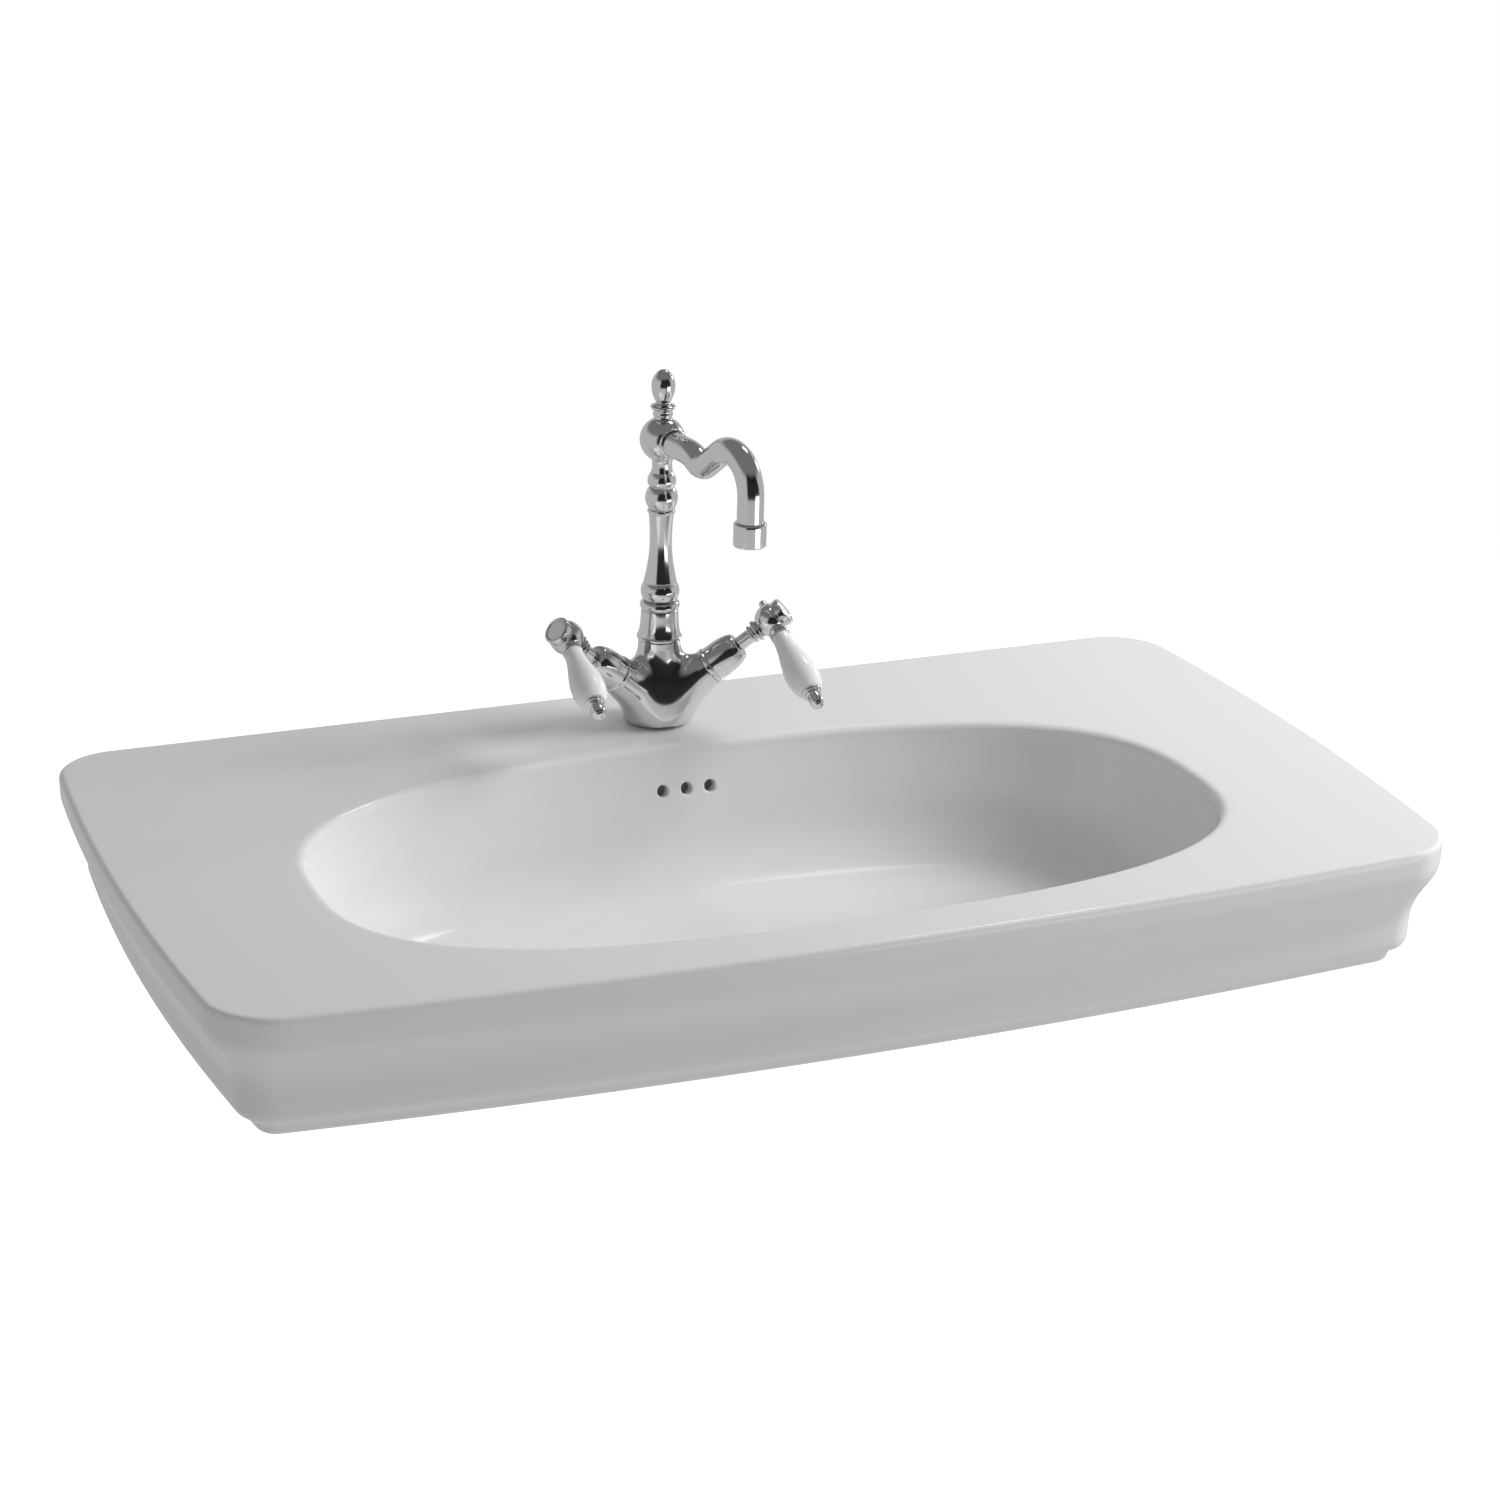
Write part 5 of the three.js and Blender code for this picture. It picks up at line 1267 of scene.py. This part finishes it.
def shaft_of_column(tap):
    """The turned shaft: a bead, a long waist, a fillet ring and a second bead."""
    height = millimetres(tap.shaft_height)
    low, swivel = millimetres(tap.body_height + tap.collar_height) + GAP, swivel_height(tap)
    waist, neck = low + 0.49 * height, swivel - 22
    bore = 4.5
    section = Section(bore, low - 12).to((7.6, low - 12), (7.6, low), (13.2, low))
    section.bend((18.4, low + 7.6), (13.2, low + 15.2), 20)
    section.to((12.9, low + 15.8), (13.5, low + 16.2), (13.3, low + 17))
    section.bend((9.4, waist - 14), (9, waist), 20).bend((9, neck - 8), (10.4, neck - 0.4), 18)
    section.bend((11.5, neck + 0.2), (11.3, neck + 1.6), 6).bend((11.1, neck + 2.8), (10.2, neck + 3.4), 5)
    section.bend((16.3, neck + 12.6), (10.3, swivel - 1), 22)
    section.to((5.6, swivel - 1), (5.6, swivel + 30), (3.4, swivel + 30))
    section.to((3.4, swivel - 6), (bore, swivel - 10))
    return section.to((bore, low - 12))


def hub_of_spout(tap):
    """The spout's vase-shaped neck and ball."""
    swivel = swivel_height(tap)
    centre, bore = swivel + HUB_CENTRE, 6.4
    foot = math.acos(9.0 / BALL_R)
    section = Section(bore, swivel + 1.2).to((10.4, swivel + 1.2))
    section.bend((11.4, swivel + 1.6), (11.4, swivel + 2.8), 5)
    section.bend((12.4, swivel + 6.8), (8.8, swivel + 12), 16)
    low = centre - BALL_R * math.sin(foot)
    section.bend((7.7, swivel + 16.5), (8.3, low - 2.2), 10).bend((8.5, low - 0.9), (9.0, low), 4)
    section.arc((0, centre), BALL_R, -foot, math.acos(FINIAL_SEAT_R / BALL_R), 56)
    crown = centre + math.sqrt(BALL_R ** 2 - FINIAL_SEAT_R ** 2)
    return section.to((3.6, crown), (3.6, centre + 8), (bore, centre + 8), (bore, swivel + 1.2))


def finial_section(tap):
    """The finial: a seat, a dished collar and a bud."""
    seat = swivel_height(tap) + HUB_CENTRE + math.sqrt(BALL_R ** 2 - FINIAL_SEAT_R ** 2) + GAP
    top = seat - GAP + FINIAL_HEIGHT
    section = Section(0, seat - 7).to((3.2, seat - 7), (3.2, seat), (FINIAL_SEAT_R + 0.2, seat))
    section.bend((7.2, seat + 0.9), (7.3, seat + 2.8), 6).bend((8.5, seat + 3.4), (8.1, seat + 4.9), 6)
    section.bend((7, seat + 6.8), (9.3, seat + 8.7), 8).bend((11.6, seat + 10.6), (8.4, seat + 11.8), 8)
    section.bend((6, seat + 12.4), (5.7, seat + 14), 7)
    section.sway((10, seat + 21), (11.4, seat + 31), (6.4, top - 4), 28).bend((4, top), (0, top), 10)
    return section.eased(0.2)


def spout_line(tap):
    """The tube's centre line as points and headings: out, a dip, a rise, an arch and a drop."""
    run = SPOUT_DIP_AT - SPOUT_STRAIGHT
    dip = 2 * math.atan(SPOUT_DIP / run)
    first_r = run / math.sin(dip) - SPOUT_DIP_R
    after_dip = SPOUT_DIP_AT + SPOUT_DIP_R * math.sin(SPOUT_RISE)
    arch_start = millimetres(tap.spout_reach) - SPOUT_ARCH_R * (1 + math.sin(SPOUT_RISE))
    legs = [
        (SPOUT_STRAIGHT - TUBE_SEAT - GAP, 0, 0),
        (0, -dip, first_r),
        (0, dip + SPOUT_RISE, SPOUT_DIP_R),
        ((arch_start - after_dip) / math.cos(SPOUT_RISE), 0, 0),
        (0, -SPOUT_RISE - math.pi / 2, SPOUT_ARCH_R),
        (SPOUT_DROP, 0, 0),
    ]
    points, headings, heading = [Vector((TUBE_SEAT + GAP, 0))], [0.0], 0.0
    for length, turn, r in legs:
        count = math.ceil(abs(turn) / math.radians(3)) if turn else math.ceil(length / 3)
        for _ in range(count):
            chord = 2 * r * math.sin(abs(turn) / count / 2) if turn else length / count
            middle = heading + turn / count / 2
            heading += turn / count
            points.append(points[-1] + Vector((math.cos(middle), math.sin(middle))) * chord)
            headings.append(heading)
    return points, headings


def tube_skin(points, headings, outer, bore, steps=80):
    """A hollow tube along the spout's line, open at both ends."""

    def ring(point, heading, r):
        made = []
        for k in range(steps):
            angle = 2 * math.pi * k / steps
            side, up = r * math.cos(angle), r * math.sin(angle)
            out = point + Vector((-math.sin(heading), math.cos(heading))) * up
            made.append(Vector((side, -out.x, out.y)))
        return made

    pairs = list(zip(points, headings))
    rings = [ring(p, h, outer) for p, h in pairs] + [ring(p, h, bore) for p, h in pairs[::-1]]
    return skin(rings, wrap=True)


def build_column(tap):
    """The collar and the shaft that carry the spout."""
    place = tap_frame(tap)
    edge = millimetres(tap.edge)
    make("column_collar", turned(collar_of_column(tap).eased(edge, True), 128), place, "chrome")
    make("column_shaft", turned(shaft_of_column(tap).eased(edge, True), 128), place, "chrome")


def build_spout(tap):
    """The swivelling spout with its finial, ring and aerator."""
    body = "spout"
    place = tap_frame(tap) @ Matrix.Rotation(tap.spout_turn, 4, "Z")
    edge = millimetres(tap.edge)
    centre = swivel_height(tap) + HUB_CENTRE
    make("spout_hub", turned(hub_of_spout(tap).eased(edge, True), 128), place, "chrome", body)
    make("finial", turned(finial_section(tap)), place, "chrome", body)
    points, headings = spout_line(tap)
    at_ball = place @ Matrix.Translation((0, 0, centre * MM))
    make("spout_tube", tube_skin(points, headings, SPOUT_R, SPOUT_BORE_R), at_ball, "chrome", body, crease=50)
    start = math.sqrt(BALL_R ** 2 - (SPOUT_R + 1) ** 2) + 1.2
    ring = Section(SPOUT_R + 0.1, start).to((SPOUT_R + 1.4, start))
    ring.bend((SPOUT_R + 2.2, start + 0.2), (SPOUT_R + 2, start + 1.8), 7)
    ring.bend((SPOUT_R + 1.9, start + 3.2), (SPOUT_R + 0.1, start + 3.4), 7)
    make("spout_ring", turned(ring.points), at_ball @ aimed((0, -1, 0), (0, 0, 0)), "chrome", body)
    outlet = at_ball @ Matrix.Translation(Vector((0, -points[-1].x, points[-1].y)) * MM)
    mouth, r = -AERATOR_LENGTH, AERATOR_R
    housing = Section(SPOUT_R + 0.6, mouth + 0.8).to((SPOUT_R + 1.2, mouth), (r - 1.2, mouth))
    housing.bend((r, mouth), (r, mouth + 1.2), 6).to((r, -3.2)).bend((r + 0.05, -1.4), (r - 0.6, -1.1), 6)
    housing.to((r - 1.3, -0.6), (r - 1.6, -GAP), (SPOUT_R - 2, -GAP))
    housing.to((SPOUT_R - 2, -2.5), (SPOUT_R + 0.6, -3.5))
    housing.to((SPOUT_R + 0.6, mouth + 0.8))
    make("aerator_housing", turned(housing.eased(edge, True)), outlet, "chrome", body)
    insert = Section(0, mouth + 3)
    for k in range(5):
        low, inner = mouth + 1.6, 1.0 + 1.9 * k
        insert.to((inner, mouth + 3), (inner, low), (inner + 0.9, low), (inner + 0.9, mouth + 3))
    insert.to((SPOUT_R - 0.5, mouth + 1.3), (SPOUT_R + GAP, mouth + 1.3), (SPOUT_R + GAP, -8), (0, -8))
    make("aerator_insert", turned(insert.eased(0.15)), outlet, "plastic", body)


# ---------------------------------------------------------------- studio

FLOOR_HALF = 2600                 # half the floor's side
FLOOR_CORNERS = ((-1, -1), (1, -1), (1, 1), (-1, 1))
# Direction, in plan, of the dark side of the room that the chrome reflects
DARK_SIDE = Vector((math.sin(math.radians(2)), -math.cos(math.radians(2))))
CAMERA_PLACE = (-1.01215, -2.67441, 1.09926)
CAMERA_TURN, CAMERA_DIP, CAMERA_ROLL = -0.39885, 0.36461, 0.02632
# Each light: its place, the point it is aimed at, its two sides and whether reflections show it
LIGHTS = {
    "key": ((2.15, -0.6, 1.45), (0.0, -0.28, 0.05), (1.2, 1.2), False),
    "low": ((1.5, -2.3, -0.45), (0.15, -0.5, 0.0), (1.6, 0.8), True),
    "edge": ((2.25, 0.75, 0.85), (-0.2, -0.2, 0.06), (0.35, 0.35), True),
    "top": ((1.0, 0.55, 1.65), (0.3, -0.5, 0.06), (0.4, 0.3), True),
}


def build_studio(studio):
    """A pale floor, soft lights, a bright surround with a dark side for the chrome, and the camera."""
    scene = bpy.context.scene
    corners = [Vector((x, y, 0)) * FLOOR_HALF for x, y in FLOOR_CORNERS]
    floor = raw_object("floor", (corners, [(0, 1, 2, 3)]), Matrix.Translation((0, 0, -studio.floor_drop)))
    pale = bpy.data.materials.new("pale_floor")
    pale.use_nodes = True
    finish = Finish(pale.node_tree)
    where = finish.add("ShaderNodeTexCoord", output=3)
    surface = pale.node_tree.nodes["Principled BSDF"].inputs
    soft = finish.speckle(where, 0.8, 2)
    finish.feed(surface["Base Color"], finish.blend(soft, (0.9, 0.9, 0.9, 1), (0.93, 0.93, 0.93, 1)))
    surface["Roughness"].default_value = 0.8
    surface["Emission Color"].default_value = (1, 1, 1, 1)
    surface["Emission Strength"].default_value = 0.85
    floor.data.materials.append(pale)
    floor.visible_diffuse = False
    floor.visible_glossy = False
    surround(scene, studio)
    for name, (place, aim_at, sides, reflected) in LIGHTS.items():
        soft_light(f"{name}_light", place, aim_at, sides, getattr(studio, f"{name}_power"), reflected)
    camera_data = bpy.data.cameras.new("camera")
    camera_data.lens = studio.lens
    camera_data.sensor_width = 36
    camera = bpy.data.objects.new("camera", camera_data)
    scene.collection.objects.link(camera)
    turn = Matrix.Rotation(CAMERA_TURN, 4, "Z") @ Matrix.Rotation(math.pi / 2 - CAMERA_DIP, 4, "X")
    roll = Matrix.Rotation(CAMERA_ROLL, 4, "Z")
    camera.matrix_world = Matrix.Translation(CAMERA_PLACE) @ turn @ roll
    scene.camera = camera
    scene.view_settings.view_transform = "Standard"


def soft_light(name, place, aim_at, sides, power, reflected):
    """A rectangular soft light aimed at a point."""
    data = bpy.data.lights.new(name, "AREA")
    data.shape = "RECTANGLE"
    data.size, data.size_y = sides
    data.energy = power
    light = bpy.data.objects.new(name, data)
    bpy.context.scene.collection.objects.link(light)
    light.location = place
    light.rotation_euler = (Vector(aim_at) - Vector(place)).to_track_quat("-Z", "Y").to_euler()
    light.visible_glossy = reflected


def surround(scene, studio):
    """Even light for dull surfaces, white behind everything, and a room with a dark side in reflections."""
    world = bpy.data.worlds.new("surround")
    world.use_nodes = True
    scene.world = world
    finish = Finish(world.node_tree)
    path = finish.add("ShaderNodeLightPath")
    seen = Value(finish, path.socket.node.outputs["Is Camera Ray"])
    glossy = Value(finish, path.socket.node.outputs["Is Glossy Ray"])
    heading = finish.add("ShaderNodeTexCoord", output=0)
    axes = finish.add("ShaderNodeSeparateXYZ", None, {0: heading})
    x, y, z = [Value(finish, axes.socket.node.outputs[k]) for k in range(3)]
    towards_dark = x * DARK_SIDE.x + y * DARK_SIDE.y
    dark = finish.ramp(towards_dark, (0.55, 0), (0.68, 1))
    level = finish.ramp(z * 0.5 + 0.5, (0.36, 0), (0.40, 1), (0.76, 1), (0.84, 0))
    ceiling = finish.ramp(z, (0.30, 0), (0.55, 1))
    room = (0.52 - ceiling * 0.34) * (1 - dark * level * 0.96)
    from_below = finish.ramp(z * -1, (0.1, 0), (0.8, 1))
    share = (1 - glossy) * studio.ambient * (1 + from_below * 0.8) + glossy * room
    strength = share * (1 - seen) + seen
    background = world.node_tree.nodes["Background"].inputs
    background["Color"].default_value = (1, 1, 1, 1)
    finish.feed(background["Strength"], strength)


# ---------------------------------------------------------------- operators


class WASHBASIN_OT_studio(bpy.types.Operator):
    """Adds the floor, the lights and the camera"""

    bl_idname = "washbasin.studio"
    bl_label = "Studio"

    def execute(self, context):
        build_studio(context.scene.washbasin_studio)
        return {"FINISHED"}


class WASHBASIN_OT_basin(bpy.types.Operator):
    """Builds the glazed basin"""

    bl_idname = "washbasin.basin"
    bl_label = "Basin"

    def execute(self, context):
        build_basin(context.scene.washbasin_basin)
        return {"FINISHED"}


class WASHBASIN_OT_wall_fixings(bpy.types.Operator):
    """Builds the two wall bolts with their washers and nuts"""

    bl_idname = "washbasin.wall_fixings"
    bl_label = "Wall fixings"

    def execute(self, context):
        wall_fixing(-1, "left")
        wall_fixing(1, "right")
        return {"FINISHED"}


class WASHBASIN_OT_waste(bpy.types.Operator):
    """Builds the waste and its plug"""

    bl_idname = "washbasin.waste"
    bl_label = "Waste and plug"

    def execute(self, context):
        build_waste(context.scene.washbasin_basin)
        return {"FINISHED"}


class WASHBASIN_OT_tap_body(bpy.types.Operator):
    """Builds the tap's body and what fixes and feeds it"""

    bl_idname = "washbasin.tap_body"
    bl_label = "Tap body"

    def execute(self, context):
        build_tap_body(context.scene.washbasin_tap)
        build_tap_fixing(context.scene.washbasin_tap)
        return {"FINISHED"}


class WASHBASIN_OT_handles(bpy.types.Operator):
    """Builds the two lever handles"""

    bl_idname = "washbasin.handles"
    bl_label = "Handles"

    def execute(self, context):
        tap = context.scene.washbasin_tap
        for label, side in SIDES:
            build_handle(tap, label, side, getattr(tap, f"{label}_droop"))
        return {"FINISHED"}


class WASHBASIN_OT_column(bpy.types.Operator):
    """Builds the column and the swivelling spout"""

    bl_idname = "washbasin.column"
    bl_label = "Column and spout"

    def execute(self, context):
        build_column(context.scene.washbasin_tap)
        build_spout(context.scene.washbasin_tap)
        return {"FINISHED"}


class WASHBASIN_OT_frame_nodes(bpy.types.Operator):
    """Gives the frame's own nodes that still show their finishes"""

    bl_idname = "washbasin.frame_nodes"
    bl_label = "Finish inner parts"

    def execute(self, context):
        finish_nodes()
        return {"FINISHED"}


STEPS = (WASHBASIN_OT_studio, WASHBASIN_OT_basin, WASHBASIN_OT_wall_fixings, WASHBASIN_OT_waste,
         WASHBASIN_OT_tap_body, WASHBASIN_OT_handles, WASHBASIN_OT_column, WASHBASIN_OT_frame_nodes)


class WASHBASIN_PT_panel(bpy.types.Panel):
    """Lists the build steps in order"""

    bl_idname = "WASHBASIN_PT_panel"
    bl_label = "Washbasin"
    bl_space_type = "VIEW_3D"
    bl_region_type = "UI"
    bl_category = "Washbasin"

    def draw(self, context):
        for step in STEPS:
            self.layout.operator(step.bl_idname)


GROUPS = {"washbasin_basin": BasinSizes, "washbasin_tap": TapSizes, "washbasin_finishes": Finishes,
          "washbasin_studio": StudioSettings}
CLASSES = (*GROUPS.values(), *STEPS, WASHBASIN_PT_panel)


def register():
    """Registers the classes and hangs the property groups on the scene."""
    for cls in CLASSES:
        bpy.utils.register_class(cls)
    for name, group in GROUPS.items():
        setattr(bpy.types.Scene, name, bpy.props.PointerProperty(type=group))


def unregister():
    """Takes everything back that register() added."""
    for name in GROUPS:
        delattr(bpy.types.Scene, name)
    for cls in reversed(CLASSES):
        bpy.utils.unregister_class(cls)


def main():
    """Builds everything in order."""
    register()
    for step in STEPS:
        group, name = step.bl_idname.split(".")
        getattr(getattr(bpy.ops, group), name)()


if __name__ == "__main__":
    main()
